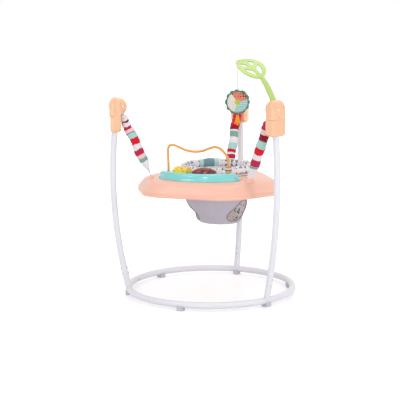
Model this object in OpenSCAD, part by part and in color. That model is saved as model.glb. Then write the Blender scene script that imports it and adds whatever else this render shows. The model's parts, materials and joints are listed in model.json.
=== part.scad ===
// Baby jumper frame: a tubular floor ring with three bowed legs, from whose caps a toy tray
// with a turning fabric seat hangs on sleeved springs. Millimetres, +Z up, the child faces -Y.
// The origin is the middle of the floor ring, on the floor.

/* [Floor ring] */
// Radius of the floor ring, to the middle of its tube
ring_r = 347; // [338:1:356]
// Outside diameter of the ring tube
ring_tube_d = 27; // [25:0.5:29]
// Height of the middle of the ring tube above the floor
ring_z = 24; // [22:0.5:27]
// Wall of the steel tubes
tube_wall = 1.6; // [1.2:0.1:2]
// Length of a foot along the ring
foot_len = 24; // [18:1:30]

/* [Legs] */
// How much further out than the ring a leg stands where it is upright
leg_splay = 60; // [55:1:65]
// Height at which the bowed leg stands upright
leg_upright_z = 500; // [480:5:520]
// Outside diameter of a leg tube
leg_tube_d = 26; // [24:0.5:27]
// Length of a leg inside its cap
leg_in_cap = 49; // [43:1:53]
// Heights of the two bolts through a leg
leg_bolt_zs = [93, 115]; // [80:1:125]

/* [Caps] */
// Radius of the round head of a cap
head_r = 38.5; // [38.5:0.5:40]
// Height of the middle of the head
head_z = 790.5; // [786:0.5:796]
// Width of a cap across the leg
cap_w = 76; // [74:0.5:76.5]
// Depth of a cap below its head, from the child's side to the outer side
collar_depth = 45; // [42:1:48]
// Length of a cap from the middle of its head down to its lower end
cap_drop = 103.5; // [97:0.5:110]
// Thickness of the outer cap cover
cover_t = 3.5; // [3:0.5:5]

/* [Suspension] */
// Diameter of the steel anchor pin in a head
pin_d = 6; // [5:0.5:7]
// Diameter of the spring wire
spring_wire_d = 2.6; // [2:0.1:3]
// Outside diameter of the spring
spring_d = 22.6; // [20:0.2:24]
// Turns of a spring
spring_turns = 12; // [8:1:14]
// Outside diameter of the gathered sleeve
sleeve_d = 40; // [38:0.5:42]
// Width of the strap webbing
strap_w = 22; // [18:1:25]
// Thickness of the strap webbing
strap_t = 2.2; // [1.8:0.1:2.6]

/* [Tray] */
// Height of the lower rim of the tray
tray_rim_z = 434; // [424:1:440]
// Height of the flat top of the tray
tray_top_z = 498; // [494:1:504]
// Radius of the round corners of the tray, at its rim
tray_corner_r = 141; // [136:1:146]
// Distance from the middle of the ring to the middle of a round corner
tray_corner_at = 169; // [164:1:174]
// Wall of the moulded tray
tray_wall = 3; // [2.5:0.1:3.5]

/* [Seat] */
// How far the seat sits behind the middle of the ring
seat_y = 80; // [74:1:83]
// Radius of the hole in the tray that the seat turns in
seat_hole_r = 146; // [143:0.5:149]
// Height of the seat's lowest point
seat_bottom_z = 277; // [265:1:290]
// Thickness of the seat fabric
fabric_t = 4; // [3:0.5:5]
// Diameter of a leg hole
leg_hole_d = 96; // [86:1:100]

/* [Console and toys] */
// Distance from the middle of the ring to the middle of the curved console
console_r = 193; // [188:1:196]
// Width of the console
console_w = 76; // [70:1:80]
// Height of the console
console_h = 29; // [26:0.5:32]
// Half of the turn that the console takes round the tray (degrees)
console_half_turn = 46; // [44:1:48]
// Diameter of the bead wire
wire_d = 10; // [8:0.5:11]
// Height of the bead wire above the console
wire_h = 107; // [98:1:114]
// Diameter of the roller drum
drum_d = 50; // [46:1:52]
// Length of the roller drum
drum_len = 66; // [60:1:70]
// Length of the push dome
dome_len = 98; // [90:1:102]
// Height of the push dome above the console
dome_h = 24; // [22:0.5:26]
// Travel of the push dome
dome_travel = 4; // [3:0.5:5]
// Length of the leaf blade
leaf_len = 158; // [150:1:164]
// Width of the leaf blade
leaf_w = 100; // [90:1:106]
// Diameter of the round plush
plush_d = 103; // [96:1:108]

/* [Hidden] */
$fn = 64;

// Gaps between pieces, and how far a cut runs past the face that it opens
slip = 0.15;
run_gap = 0.06;
body_gap = 0.4;
over = 2;

// Where the legs stand, in degrees from +X
left_az = 210;
right_az = 330;
rear_az = 90;
leg_azs = [left_az, right_az, rear_az];

// Leg bow: an arc that starts on the ring and stands upright at leg_upright_z
bow_drop = leg_upright_z - ring_z;
bow_in = leg_splay;
leg_reach = ring_r + leg_splay;
cap_bottom_z = head_z - cap_drop;
leg_top_z = cap_bottom_z + leg_in_cap;
bow_r = (bow_drop * bow_drop + bow_in * bow_in) / (2 * bow_in);
function leg_turn(z) = asin((z - leg_upright_z) / bow_r);
function leg_at(z) = leg_reach - bow_r * (1 - cos(leg_turn(z)));
function sagitta(len) = len * len / (8 * bow_r);

// Ring seams, stubs and screws
seam_turn = -3;
joiner_len = 64;
ring_screw_d = 5;
ring_screw_at = 14;
screw_head_share = 1.8;
screw_head_h = 2.4;
stub_top_z = 140;
stub_mid_z = (ring_z + stub_top_z) / 2;
stub_len = stub_top_z - ring_z;
stub_d = leg_tube_d - 2 * tube_wall - 2 * slip - 2 * sagitta(stub_len);
leg_bolt_d = 5;
foot_lip = 2.2;
foot_rise = ring_z - ring_tube_d / 8;
foot_azs = [30, 90, 150, 210, 270, 330];

// Cap form, in a leg's own plane: x outward, y across, z up
head_x = leg_at(head_z) - 1.5;
cap_out = head_x + head_r - 2;
cap_step = 3;
cap_in = cap_out - cap_step - collar_depth;
cap_edge_r = 14;
cap_shy = 0.8;
cap_foot_r = 21;
cover_in = head_x + head_r / 3;
cover_bottom_z = head_z - head_r;
bore_gap = slip + sagitta(leg_top_z - cap_bottom_z);
bore_len = leg_top_z - cap_bottom_z + over;
cap_screw_d = 4;
cap_screw_zs = [cover_bottom_z + 2 * cap_screw_d, head_z - cap_screw_d];
pin_len = 36;
pin_x = head_x - 0.36 * head_r;
pin_z = head_z - 0.61 * head_r;
hook_room = 20;
hook_room_w = 9;

// Strap line, from the anchor pin down to the slot in the tray
slot_x = 247;
strap_dx = slot_x - pin_x;
strap_dz = tray_top_z - pin_z;
strap_run = sqrt(strap_dx * strap_dx + strap_dz * strap_dz);
strap_lean = atan2(strap_dx, strap_dz);
bar_d = 4.4;
bar_len = strap_w + 6;
bar_at = strap_run - 46;
eye_wall = strap_t;
strap_tail = 26;
slider_l = 30;
slider_w = 9;
slider_h = 6;
coil_r = (spring_d - spring_wire_d) / 2;
coil_start = 22;
coil_end = bar_at - 46;
hook_gap = 0.5;
curl_rings = 8;
wire_sides = 6;
sleeve_start = 34;
sleeve_end = bar_at - 15;
sleeve_in_r = spring_d / 2 + 0.8;
sleeve_sides = 12;
sleeve_rings = 15;

// Tray: six round corners, two beside each leg
corner_half_turn = 21.5;
corner_azs = [for (a = leg_azs) for (s = [-1, 1]) a + s * corner_half_turn];
rim_h = 13;
tray_h = tray_top_z - tray_rim_z;
// Domed top: place and radius of the corners as shares of those at the rim, and height as a share
wall_shares = [[1, 0.982, 0], [1, 0.982, 0.2], [0.947, 0.993, 0.44], [0.77, 1.07, 0.78],
  [0.533, 1.19, 0.906],
  [0.12, 1.518, 1]];
horn_l = strap_w + 22;
horn_w = 18;
horn_h = 8;
horn_sink = 14;
collar_wall = 3;
post_d = 11;
post_at = 215;
post_azs = [40, 140, 200, 250, 290, 340];
post_screw_d = 4;
tray_fn = 48;

// Seat ring, collar and bucket, about the seat's own axis
ring_run = 11;
seat_ring_r = seat_hole_r - ring_run;
seat_ring_wall = 3;
flange_t = 4;
flange_w = 11;
glide_h = 2;
glide_d = 9;
glide_count = 6;
flange_z = tray_top_z + body_gap + glide_h;
seat_flange_r = seat_hole_r + flange_w;
keeper_t = 3;
keeper_z = tray_rim_z - body_gap - keeper_t;
bucket_r = seat_ring_r - seat_ring_wall - body_gap;
bucket_top_z = flange_z + flange_t;
// Bucket half-width, half-depth and set-back as shares of its top radius, and height as a share
bucket_shares = [[0.42, 0.34, 0.3, 0], [0.62, 0.54, 0.3, 0.012], [0.69, 0.63, 0.29, 0.04],
  [0.77, 0.72, 0.24, 0.13], [0.86, 0.82, 0.17, 0.25], [0.94, 0.91, 0.09, 0.35], [0.985, 0.97, 0.03, 0.45],
  [1, 1, 0, 0.56], [1, 1, 0, 0.78], [1, 1, 0, 1]];
bucket_sides = 36;
leg_hole_turn = 81.5;
leg_hole_z = seat_bottom_z + 0.68 * leg_hole_d;
collar_in_r = bucket_r - fabric_t;
collar_out_r = seat_flange_r - 2;
collar_low_h = 20;
collar_back_h = 40;
collar_sides = 36;
collar_rings = 10;

// Console and what stands on it
console_top_z = tray_top_z + console_h;
pod_r = (console_w * console_w / 4 + console_h * console_h) / (2 * console_h);
pod_drop = pod_r - console_h;
// Lip along the console's front edge, and the toys set back behind it
lip_r = 14;
lip_at = console_r + 20;
lip_z = tray_top_z + 18;
toy_r = console_r - 13;
drum_az = 251;
drum_z = console_top_z - 0.5;
drum_ribs = 12;
drum_rib_d = 5;
drum_gap = 1.5;
axle_d = 6;
ear_t = 6;
ear_d = 16;
dome_az = 282.5;
dome_r = dome_h;
dome_z = console_top_z + 1;
dome_end_share = 0.35;
dome_gap = 0.6;
dome_spring_d = 14;
dome_spring_len = 16;
dome_spring_turns = 5;
dome_spring_wire_d = 1.4;
dome_shelf_z = dome_z - dome_r - dome_travel;
wire_foot_turn = 42.3;
wire_foot_x = console_r * sin(wire_foot_turn);
wire_foot_y = -console_r * cos(wire_foot_turn);
boss_d = wire_d + 8;
boss_h = 2;
wire_base_z = console_top_z + boss_h;
wire_sink = 8;
// Bead wire: place along the chord and height above its boss, as shares
wire_shares = [[-1, 0.3], [-1.01, 0.62], [-1.005, 0.84], [-0.97, 0.945], [-0.89, 0.995], [-0.78, 0.985],
  [-0.62, 0.91], [-0.4, 0.81], [-0.12, 0.765], [0.14, 0.8], [0.36, 0.9], [0.54, 0.965],
  [0.7, 0.93], [0.84, 0.8], [0.95, 0.64], [1, 0.47], [1, 0.3]];
wire_rings = 3;
wire_round_sides = 12;
bead_gap = 0.45;
bead_lift_gap = 0.3;
bead_ds = [27, 31, 31, 26];
bead_hs = [9, 5, 5, 5];

// Leaf arm, in the right leg's own plane
peg_lean = -32;
peg_x = head_x - 2;
peg_d = 16;
peg_len = 24;
stem_base_d = 23;
stem_tip_d = 18;
// Stem from the peg to the leaf: its reach, and its bends as shares along x and z
stem_in = 61;
stem_up = 80;
stem_shares = [[0, 0], [-0.27, 0.32], [-0.6, 0.67], [-1, 1]];
leaf_rise = 24;
leaf_roll = -18;
leaf_t = 5;
leaf_bow_r = 210;
leaf_mid_drop = sqrt(leaf_bow_r * leaf_bow_r - leaf_len * leaf_len / 4);
leaf_rib_w = 13;
leaf_rim_w = 15;
stem_rings = 3;
string_d = 1.6;
// Hanging string, from under the leaf tip to the plush
string_route = [[150, -87, 972.1], [150, -87, 966], [150, -87, 959], [150, -87, 952], [150, -87, 945],
  [150, -87, 938], [150, -87, 931], [150, -87, 924], [150, -87, 917], [150, -87, 910], [150, -87, 903],
  [150, -87, 896], [150, -87, 889], [150, -87, 882], [150, -87, 875], [150, -87, 869], [150, -87, 863]];
string_sides = 8;
string_end = string_route[len(string_route) - 1];
plush_t = 34;
plush_face_az = 290;
plush_sides = 36;
plush_scallops = 12;
scallop_share = 0.035;
// Swell of the plush: radius share and thickness share from its back to its front
plush_shares = [[0.02, -1], [0.42, -0.97], [0.76, -0.78], [0.95, -0.42], [1, 0],
  [0.95, 0.42], [0.76, 0.78], [0.42, 0.97], [0.02, 1]];
plush_z = string_end[2] - plush_d / 2 - body_gap;
ribbon_w = 26;
ribbon_t = 3;
ribbon_len = 46;
ribbon_top_w = 10;

// Colours of the pieces
white_paint = [0.93, 0.93, 0.95];
foot_grey = [0.72, 0.7, 0.78];
steel = [0.7, 0.7, 0.72];
cap_orange = [1, 0.77, 0.57];
tray_peach = [1, 0.79, 0.71];
turquoise = [0.5, 0.87, 0.87];
wire_orange = [0.93, 0.6, 0.2];
fabric_grey = [0.72, 0.7, 0.74];
fabric_white = [0.92, 0.91, 0.93];
band_red = [0.85, 0.15, 0.25];
leaf_green = [0.8, 0.89, 0.52];
plush_green = [0.25, 0.55, 0.45];
clear_yellow = [0.95, 0.83, 0.25];
dome_red = [0.45, 0.06, 0.05];

// Shared shapes
module in_leg_plane(az) rotate([0, 0, az]) children();

module on_leg(z) translate([leg_at(z), 0, z]) rotate([0, -leg_turn(z), 0]) children();

module across_leg(z) translate([leg_at(z), 0, z]) rotate([0, 90 - leg_turn(z), 0]) children();

module leg_arc(d, low_z, high_z)
  translate([leg_reach - bow_r, 0, leg_upright_z]) rotate([90, 0, 0]) rotate([0, 0, leg_turn(low_z)])
    rotate_extrude(angle = leg_turn(high_z) - leg_turn(low_z), $fn = 128)
      translate([bow_r, 0]) circle(d = d);

module ring_arc(d, start, turn)
  translate([0, 0, ring_z]) rotate([0, 0, start])
    rotate_extrude(angle = turn, $fn = 128) translate([ring_r, 0]) circle(d = d);

module strap_line() translate([pin_x, 0, pin_z]) rotate([0, strap_lean, 0]) children();

module at_seat() translate([0, seat_y, 0]) children();

module on_console(az) rotate([0, 0, az]) translate([toy_r, 0, 0]) children();

// Skin over rings of points, capped at both ends
function ring_faces(rings, sides) = [for (i = [0:rings - 2]) for (j = [0:sides - 1])
  let (a = i * sides + j, b = i * sides + (j + 1) % sides, c = a + sides, d = b + sides)
    each [[a, d, b], [a, c, d]]];

function end_faces(rings, sides) = let (last = (rings - 1) * sides) concat(
  [for (j = [1:sides - 2]) [0, j, j + 1]],
  [for (j = [1:sides - 2]) [last, last + j + 1, last + j]]);

module skin(rings) {
  sides = len(rings[0]);
  polyhedron([for (r = rings) each r], concat(ring_faces(len(rings), sides),
    end_faces(len(rings), sides)));
}

// Skin over rings that close on themselves, end to end
module closed_skin(rings) {
  sides = len(rings[0]);
  count = len(rings);
  polyhedron([for (r = rings) each r], [for (f = ring_faces(count + 1, sides))
    [for (k = f) k % (count * sides)]]);
}

function unit(v) = v / norm(v);
function along(path, i) = unit(path[min(i + 1, len(path) - 1)] - path[max(i - 1, 0)]);

// Rings of a tube along a path; side is a direction that the path never takes
function tube_rings(path, radii, sides, side) = [for (i = [0:len(path) - 1])
  let (t = along(path, i), u = unit(cross(side, t)), v = cross(t, u))
    [for (j = [0:sides - 1]) path[i] + radii[i] * (cos(360 * j / sides) * u + sin(360 * j / sides) * v)]];

// Smooth path through points: a cubic between each pair, tangent to its neighbours
function smooth_at(p, i, t) = let (a = p[max(i - 1, 0)], b = p[i], c = p[i + 1],
  d = p[min(i + 2, len(p) - 1)])
  0.5 * (2 * b + (c - a) * t + (2 * a - 5 * b + 4 * c - d) * t * t + (3 * b - a - 3 * c + d) * t * t * t);
function smooth(p, steps) = concat(
  [for (i = [0:len(p) - 2]) for (k = [0:steps - 1]) smooth_at(p, i, k / steps)], [p[len(p) - 1]]);

// Floor ring
module ring_screw(d, head_d)
  for (s = [0, 1]) rotate([0, 0, 180 * s + seam_turn + ring_screw_at / ring_r * 180 / PI])
    translate([ring_r, 0, ring_z]) rotate([0, -90, 0]) {
      cylinder(d = d, h = ring_tube_d / 2 + slip);
      if (head_d > 0) translate([0, 0, ring_tube_d / 2]) cylinder(d1 = head_d, d2 = d, h = screw_head_h);
    }

module leg_bolt(d, len)
  for (z = leg_bolt_zs) across_leg(z) cylinder(d = d, h = len, center = true);

module ring_half(start, azs) color(white_paint) difference() {
  union() {
    ring_arc(ring_tube_d, start, 180);
    for (a = azs) in_leg_plane(a) on_leg(stub_mid_z)
      translate([0, 0, -stub_len / 2]) cylinder(d = stub_d, h = stub_len);
  }
  ring_arc(ring_tube_d - 2 * tube_wall, start - 1, 182);
  for (a = azs) in_leg_plane(a) leg_bolt(leg_bolt_d + 2 * slip, 2 * leg_tube_d);
  ring_screw(ring_screw_d + 2 * slip, 0);
}

module ring_front_half() ring_half(180 + seam_turn, [left_az, right_az]);

module ring_rear_half() ring_half(seam_turn, [rear_az]);

module ring_joiners() color(steel) difference() {
  turn = joiner_len / ring_r * 180 / PI;
  for (s = [0, 1]) ring_arc(ring_tube_d - 2 * tube_wall - 2 * slip, 180 * s + seam_turn - turn / 2, turn);
  ring_screw(ring_screw_d + 2 * slip, 0);
}

module ring_screws() color(steel) ring_screw(ring_screw_d, ring_screw_d * screw_head_share);

module ring_feet() color(foot_grey) for (a = foot_azs) {
  turn = foot_len / ring_r * 180 / PI;
  rotate([0, 0, a - turn / 2]) rotate_extrude(angle = turn) difference() {
    translate([ring_r - ring_tube_d / 2 - foot_lip, 0]) square([ring_tube_d + 2 * foot_lip, foot_rise]);
    translate([ring_r, ring_z]) circle(d = ring_tube_d + 2 * slip);
  }
}

// Legs
module leg(az) color(white_paint) in_leg_plane(az) difference() {
  leg_arc(leg_tube_d, ring_z + ring_tube_d / 4, leg_top_z);
  leg_arc(leg_tube_d - 2 * tube_wall, ring_z, leg_top_z + over);
  translate([ring_r, 0, ring_z]) rotate([90, 0, 0])
    cylinder(d = ring_tube_d + 4 * slip, h = 2 * leg_tube_d, center = true);
  leg_bolt(leg_bolt_d + 2 * slip, 2 * leg_tube_d);
}

module left_leg() leg(left_az);

module right_leg() leg(right_az);

module rear_leg() leg(rear_az);

module leg_bolts() color(steel) for (a = leg_azs) in_leg_plane(a) {
  leg_bolt(leg_bolt_d, leg_tube_d);
  for (z = leg_bolt_zs) across_leg(z) for (s = [0, 1]) mirror([0, 0, s])
    translate([0, 0, leg_tube_d / 2]) cylinder(d1 = leg_bolt_d * screw_head_share, d2 = leg_bolt_d,
      h = screw_head_h);
}

// Caps: a round head on a pod, cut from three crossing outlines; inset draws every face in
module front_outline(inset) {
  half_w = cap_w / 2 - inset;
  translate([0, head_z]) circle(r = half_w);
  translate([-half_w, cap_bottom_z + cap_foot_r])
    square([2 * half_w, head_z - cap_bottom_z - cap_foot_r]);
  translate([-half_w + cap_foot_r, cap_bottom_z]) square([2 * half_w - 2 * cap_foot_r, 2 * cap_foot_r]);
  for (s = [-1, 1]) translate([s * (half_w - cap_foot_r), cap_bottom_z + cap_foot_r])
    circle(r = cap_foot_r);
}

module side_outline(inset) {
  translate([cap_in + inset, cap_bottom_z])
    square([cap_out - cap_in - cap_step - 2 * inset, cover_bottom_z - cap_bottom_z + over]);
  translate([cap_in + inset, cover_bottom_z]) square([cap_out - cap_in - 2 * inset,
    head_z - cover_bottom_z]);
  intersection() {
    translate([head_x, head_z]) circle(r = head_r - cap_shy - inset);
    translate([head_x, head_z]) square([cap_out - head_x - inset, head_r]);
  }
}

module plan_outline(inset) {
  low_x = cap_in + inset - cap_shy;
  high_x = cap_out - inset + cap_shy;
  half_w = cap_w / 2 - inset + cap_shy;
  translate([low_x, -half_w + cap_edge_r]) square([high_x - low_x, 2 * half_w - 2 * cap_edge_r]);
  translate([low_x + cap_edge_r, -half_w]) square([high_x - low_x - 2 * cap_edge_r, 2 * half_w]);
  for (x = [low_x + cap_edge_r, high_x - cap_edge_r]) for (y = [-1, 1])
    translate([x, y * (half_w - cap_edge_r)]) circle(r = cap_edge_r);
}

module cap_form(inset) {
  translate([head_x, 0, head_z]) sphere(r = head_r - inset);
  intersection() {
    rotate([90, 0, 90]) linear_extrude(2 * head_x) front_outline(inset);
    translate([0, cap_w, 0]) rotate([90, 0, 0]) linear_extrude(2 * cap_w) side_outline(inset);
    linear_extrude(2 * head_z) plan_outline(inset);
  }
}

module cover_room() translate([cover_in, -cap_w, cover_bottom_z])
  cube([cap_w, 2 * cap_w, cap_w + head_r]);

module cap_screw(d, len) for (z = cap_screw_zs)
  translate([cap_out + cover_t / 4, 0, z]) rotate([0, -90, 0]) cylinder(d = d, h = len);

module cap_body(az, with_socket) color(cap_orange) in_leg_plane(az) difference() {
  union() {
    cap_form(0);
    if (with_socket) leaf_boss();
  }
  difference() {
    cover_room();
    cap_form(cover_t + slip);
  }
  on_leg((cap_bottom_z + leg_top_z) / 2) translate([0, 0, -bore_len / 2 - 2 * over])
    cylinder(d = leg_tube_d + 2 * bore_gap, h = bore_len + 2 * over);
  strap_line() {
    translate([-hook_room / 2, -hook_room_w / 2, -hook_room / 2])
      cube([hook_room, hook_room_w, head_r + hook_room / 2]);
    translate([0, 0, coil_start - spring_wire_d]) cylinder(d = spring_d + 4 * body_gap, h = 2 * head_r);
  }
  translate([pin_x, 0, pin_z]) rotate([90, 0, 0])
    cylinder(d = pin_d + 2 * slip, h = pin_len + 2 * slip, center = true);
  cap_screw(cap_screw_d + 2 * slip, 6 * cap_screw_d);
  if (with_socket) leaf_peg(peg_d + 2 * run_gap, peg_len + body_gap);
}

module left_cap_body() cap_body(left_az, false);

module right_cap_body() cap_body(right_az, true);

module rear_cap_body() cap_body(rear_az, false);

module cap_cover(az) color(cap_orange) in_leg_plane(az) difference() {
  intersection() {
    cap_form(0);
    translate([slip, 0, slip]) cover_room();
  }
  cap_form(cover_t);
  cap_screw(cap_screw_d + 2 * slip, 6 * cap_screw_d);
}

module left_cap_cover() cap_cover(left_az);

module right_cap_cover() cap_cover(right_az);

module rear_cap_cover() cap_cover(rear_az);

module cap_screws() color(steel) for (a = leg_azs) in_leg_plane(a)
  cap_screw(cap_screw_d, 5 * cap_screw_d);

module anchor_pins() color(steel) for (a = leg_azs) in_leg_plane(a)
  translate([pin_x, 0, pin_z]) rotate([90, 0, 0]) cylinder(d = pin_d, h = pin_len, center = true);

// Springs: a hook round the pin, the coil, and a hook round the strap bar, as one wire
function hook_points(r, z, from, to, steps) = [for (k = [0:steps])
  let (t = from + (to - from) * k / steps) [r * sin(t), 0, z + r * cos(t)]];

top_hook_r = pin_d / 2 + hook_gap + spring_wire_d / 2;
bar_hook_r = bar_d / 2 + hook_gap + spring_wire_d / 2;
coil_steps = spring_turns * curl_rings;
function coil_r_at(k) = coil_r * min(1, 0.5 + min(k, coil_steps - k) / curl_rings / 2);
coil_path = [for (k = [0:coil_steps]) let (t = 360 * k / curl_rings)
  [coil_r_at(k) * cos(t), coil_r_at(k) * sin(t), coil_start + (coil_end - coil_start) * k / coil_steps]];
spring_path = concat(hook_points(top_hook_r, 0, 310, 90, 9), coil_path,
  hook_points(bar_hook_r, bar_at, 90, -130, 9));

function least_gap(path, d, apart) = min([for (i = [0:len(path) - 1 - apart])
  min([for (j = [i + apart:len(path) - 1]) norm(path[i] - path[j])])]) - d;

echo(spring_least_gap = least_gap(spring_path, spring_wire_d, 7));

module spring(az) color(steel) in_leg_plane(az) strap_line()
  skin(tube_rings(spring_path, [for (p = spring_path) spring_wire_d / 2], wire_sides, [0.2, 1, 0.35]));

module left_spring() spring(left_az);

module right_spring() spring(right_az);

module rear_spring() spring(rear_az);

// Sleeves: gathered cloth, tilted from fold to fold, pinched at both ends
sleeve_len = sleeve_end - sleeve_start;
function sleeve_r(k) = let (s = k / (sleeve_rings - 1), full = sleeve_d / 2, neck = sleeve_in_r + 1.2)
  s > 0.9 ? full * 0.56 : k == 0 ? neck : k % 2 == 0 ? full : full - 1.6;
function sleeve_bore(k) = let (s = k / (sleeve_rings - 1))
  s > 0.9 ? top_hook_r + spring_wire_d : sleeve_in_r;
function sleeve_ring(k, r, tilt) = [for (j = [0:sleeve_sides - 1]) let (t = 360 * j / sleeve_sides)
  [r * cos(t), r * sin(t), sleeve_start + sleeve_len * k / (sleeve_rings - 1)
    + tilt * r * cos(t + 97 * k) * (k == 0 || k == sleeve_rings - 1 ? 0 : 1)]];
fold_share = 0.16;

module sleeve(az) color(band_red) in_leg_plane(az) strap_line() closed_skin(concat(
  [for (k = [0:sleeve_rings - 1]) sleeve_ring(k, sleeve_r(k), fold_share)],
  [for (k = [sleeve_rings - 1, sleeve_rings - 2, sleeve_rings - 3, 0])
    sleeve_ring(k, sleeve_bore(k), 0)]));

module left_sleeve() sleeve(left_az);

module right_sleeve() sleeve(right_az);

module rear_sleeve() sleeve(rear_az);

// Straps: webbing with a sewn eye round the bar, notched for the spring's hook
module strap_band(grow, from, to)
  translate([-strap_t / 2 - grow, -strap_w / 2 - grow, from])
    cube([strap_t + 2 * grow, strap_w + 2 * grow, to - from]);

module across_bar(d, len) translate([0, 0, bar_at]) rotate([90, 0, 0])
  cylinder(d = d, h = len, center = true);

module strap(az) color(fabric_white) in_leg_plane(az) strap_line() difference() {
  union() {
    across_bar(bar_d + 2 * eye_wall + 2 * slip, strap_w);
    strap_band(0, bar_at + bar_d / 2 + eye_wall / 2, strap_run + strap_tail);
  }
  across_bar(bar_d + 2 * slip, strap_w + over);
  translate([-bar_hook_r - 2 * spring_wire_d, -spring_wire_d, bar_at - 2 * bar_hook_r])
    cube([2 * bar_hook_r + 4 * spring_wire_d, 2 * spring_wire_d, 3 * bar_hook_r + spring_wire_d]);
}

module left_strap() strap(left_az);

module right_strap() strap(right_az);

module rear_strap() strap(rear_az);

module strap_bars() color(steel) for (a = leg_azs) in_leg_plane(a) strap_line()
  across_bar(bar_d, bar_len);

module strap_sliders() color(fabric_white) for (a = leg_azs) in_leg_plane(a) strap_line() difference() {
  translate([-slider_w / 2, -slider_l / 2, strap_run + strap_tail - slider_h - strap_t])
    cube([slider_w, slider_l, slider_h]);
  strap_band(slip, strap_run, strap_run + 2 * strap_tail);
}

// Tray: a hull over six round corners, inset as it rises
module tray_form(inset, drop) hull() for (a = corner_azs) rotate([0, 0, a]) for (w = wall_shares)
  translate([w[0] * tray_corner_at, 0, tray_rim_z + w[2] * (tray_h - slip) - drop])
    cylinder(r = w[1] * tray_corner_r - inset, h = slip, $fn = tray_fn);

module tray_plate(r, z, h) hull() for (a = corner_azs) rotate([0, 0, a])
  translate([tray_corner_at, 0, z]) cylinder(r = r, h = h, $fn = tray_fn);

module post_places() for (a = post_azs) rotate([0, 0, a]) translate([post_at, 0, 0]) children();

module tray_top() color(tray_peach) difference() {
  union() {
    difference() {
      union() {
        tray_plate(tray_corner_r, tray_rim_z, rim_h);
        tray_form(0, 0);
        for (a = leg_azs) in_leg_plane(a) horn();
      }
      tray_form(tray_wall, tray_wall);
    }
    at_seat() translate([0, 0, tray_rim_z + tray_wall + slip])
      cylinder(r = seat_hole_r + collar_wall, h = tray_h - tray_wall - slip);
    post_places() translate([0, 0, tray_rim_z + tray_wall + slip])
      cylinder(d = post_d, h = tray_h - 1.5 * tray_wall);
  }
  at_seat() translate([0, 0, tray_rim_z - over]) cylinder(r = seat_hole_r, h = tray_h + 2 * over);
  for (a = leg_azs) in_leg_plane(a) strap_line() strap_band(2 * body_gap, bar_at, strap_run + strap_tail);
  post_places() translate([0, 0, tray_rim_z]) cylinder(d = post_screw_d + 2 * slip, h = tray_h / 2);
}

module horn() translate([slot_x, 0, tray_top_z - horn_sink]) intersection() {
  translate([0, 0, horn_h + horn_sink - horn_l]) rotate([0, 90, 0])
    cylinder(r = horn_l, h = horn_w, center = true);
  translate([-horn_w / 2, -horn_l / 2, 0]) cube([horn_w, horn_l, horn_h + horn_sink]);
}

module tray_bottom() color(tray_peach) difference() {
  tray_plate(wall_shares[0][1] * tray_corner_r - tray_wall - slip, tray_rim_z, tray_wall);
  at_seat() translate([0, 0, tray_rim_z - over]) cylinder(r = seat_hole_r, h = tray_wall + 2 * over);
  post_places() translate([0, 0, tray_rim_z - over])
    cylinder(d = post_screw_d + 2 * slip, h = tray_wall + 2 * over);
}

module tray_screws() color(steel) post_places() translate([0, 0, tray_rim_z]) {
  cylinder(d = post_screw_d, h = tray_h / 3);
  mirror([0, 0, 1]) cylinder(d1 = post_screw_d * screw_head_share, d2 = post_screw_d, h = screw_head_h);
}

// Seat: a flanged ring that turns in the tray, a keeper below, fabric hung inside
module seat_ring() color(fabric_white) at_seat() rotate_extrude($fn = 96) {
  translate([seat_ring_r - seat_ring_wall, keeper_z])
    square([seat_ring_wall, flange_z + flange_t - keeper_z]);
  translate([seat_ring_r - seat_ring_wall, flange_z])
    square([seat_flange_r - seat_ring_r + seat_ring_wall, flange_t]);
}

module seat_keeper() color(fabric_white) at_seat() rotate_extrude($fn = 96)
  translate([seat_ring_r + slip, keeper_z]) square([seat_flange_r - seat_ring_r, keeper_t]);

module seat_glides() color(steel) at_seat() for (k = [0:glide_count - 1])
  rotate([0, 0, 360 * (k + 0.5) / glide_count])
  translate([(seat_hole_r + seat_flange_r) / 2, 0, flange_z - glide_h])
    cylinder(d = glide_d, h = glide_h);

function bucket_ring(s, inset) = let (h = bucket_top_z - seat_bottom_z)
  [for (j = [0:bucket_sides - 1]) let (t = 360 * j / bucket_sides)
    [(s[0] * bucket_r - inset) * cos(t), s[2] * bucket_r + (s[1] * bucket_r - inset) * sin(t),
      seat_bottom_z + s[3] * h]];

module seat_bucket() color(fabric_grey) at_seat() difference() {
  skin([for (s = bucket_shares) bucket_ring(s, 0)]);
  translate([0, 0, fabric_t]) skin([for (s = bucket_shares) bucket_ring(s, fabric_t)]);
  for (a = [270 - leg_hole_turn, 270 + leg_hole_turn]) rotate([0, 0, a])
    translate([bucket_r / 4, 0, leg_hole_z])
    rotate([0, 90, 0]) cylinder(d = leg_hole_d, h = 2 * bucket_r, $fn = 24);
}

// Collar: a padded roll on the ring, higher behind the child's back
function collar_h(t) = collar_low_h + (collar_back_h - collar_low_h) * pow((1 + sin(t)) / 2, 1.5);
function collar_ring(t) = let (mid = (collar_in_r + collar_out_r) / 2,
  half = (collar_out_r - collar_in_r) / 2)
  [for (j = [0:collar_rings - 1]) let (a = -360 * j / collar_rings, up = (1 + sin(a)) / 2)
    let (r = mid + half * cos(a) * (1 - 0.3 * up) + (up - 0.5) * half * 0.2)
      [r * cos(t), r * sin(t), bucket_top_z + body_gap + up * collar_h(t)]];

module seat_collar() color(fabric_white) at_seat()
  closed_skin([for (k = [0:collar_sides - 1]) collar_ring(360 * k / collar_sides)]);

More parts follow.
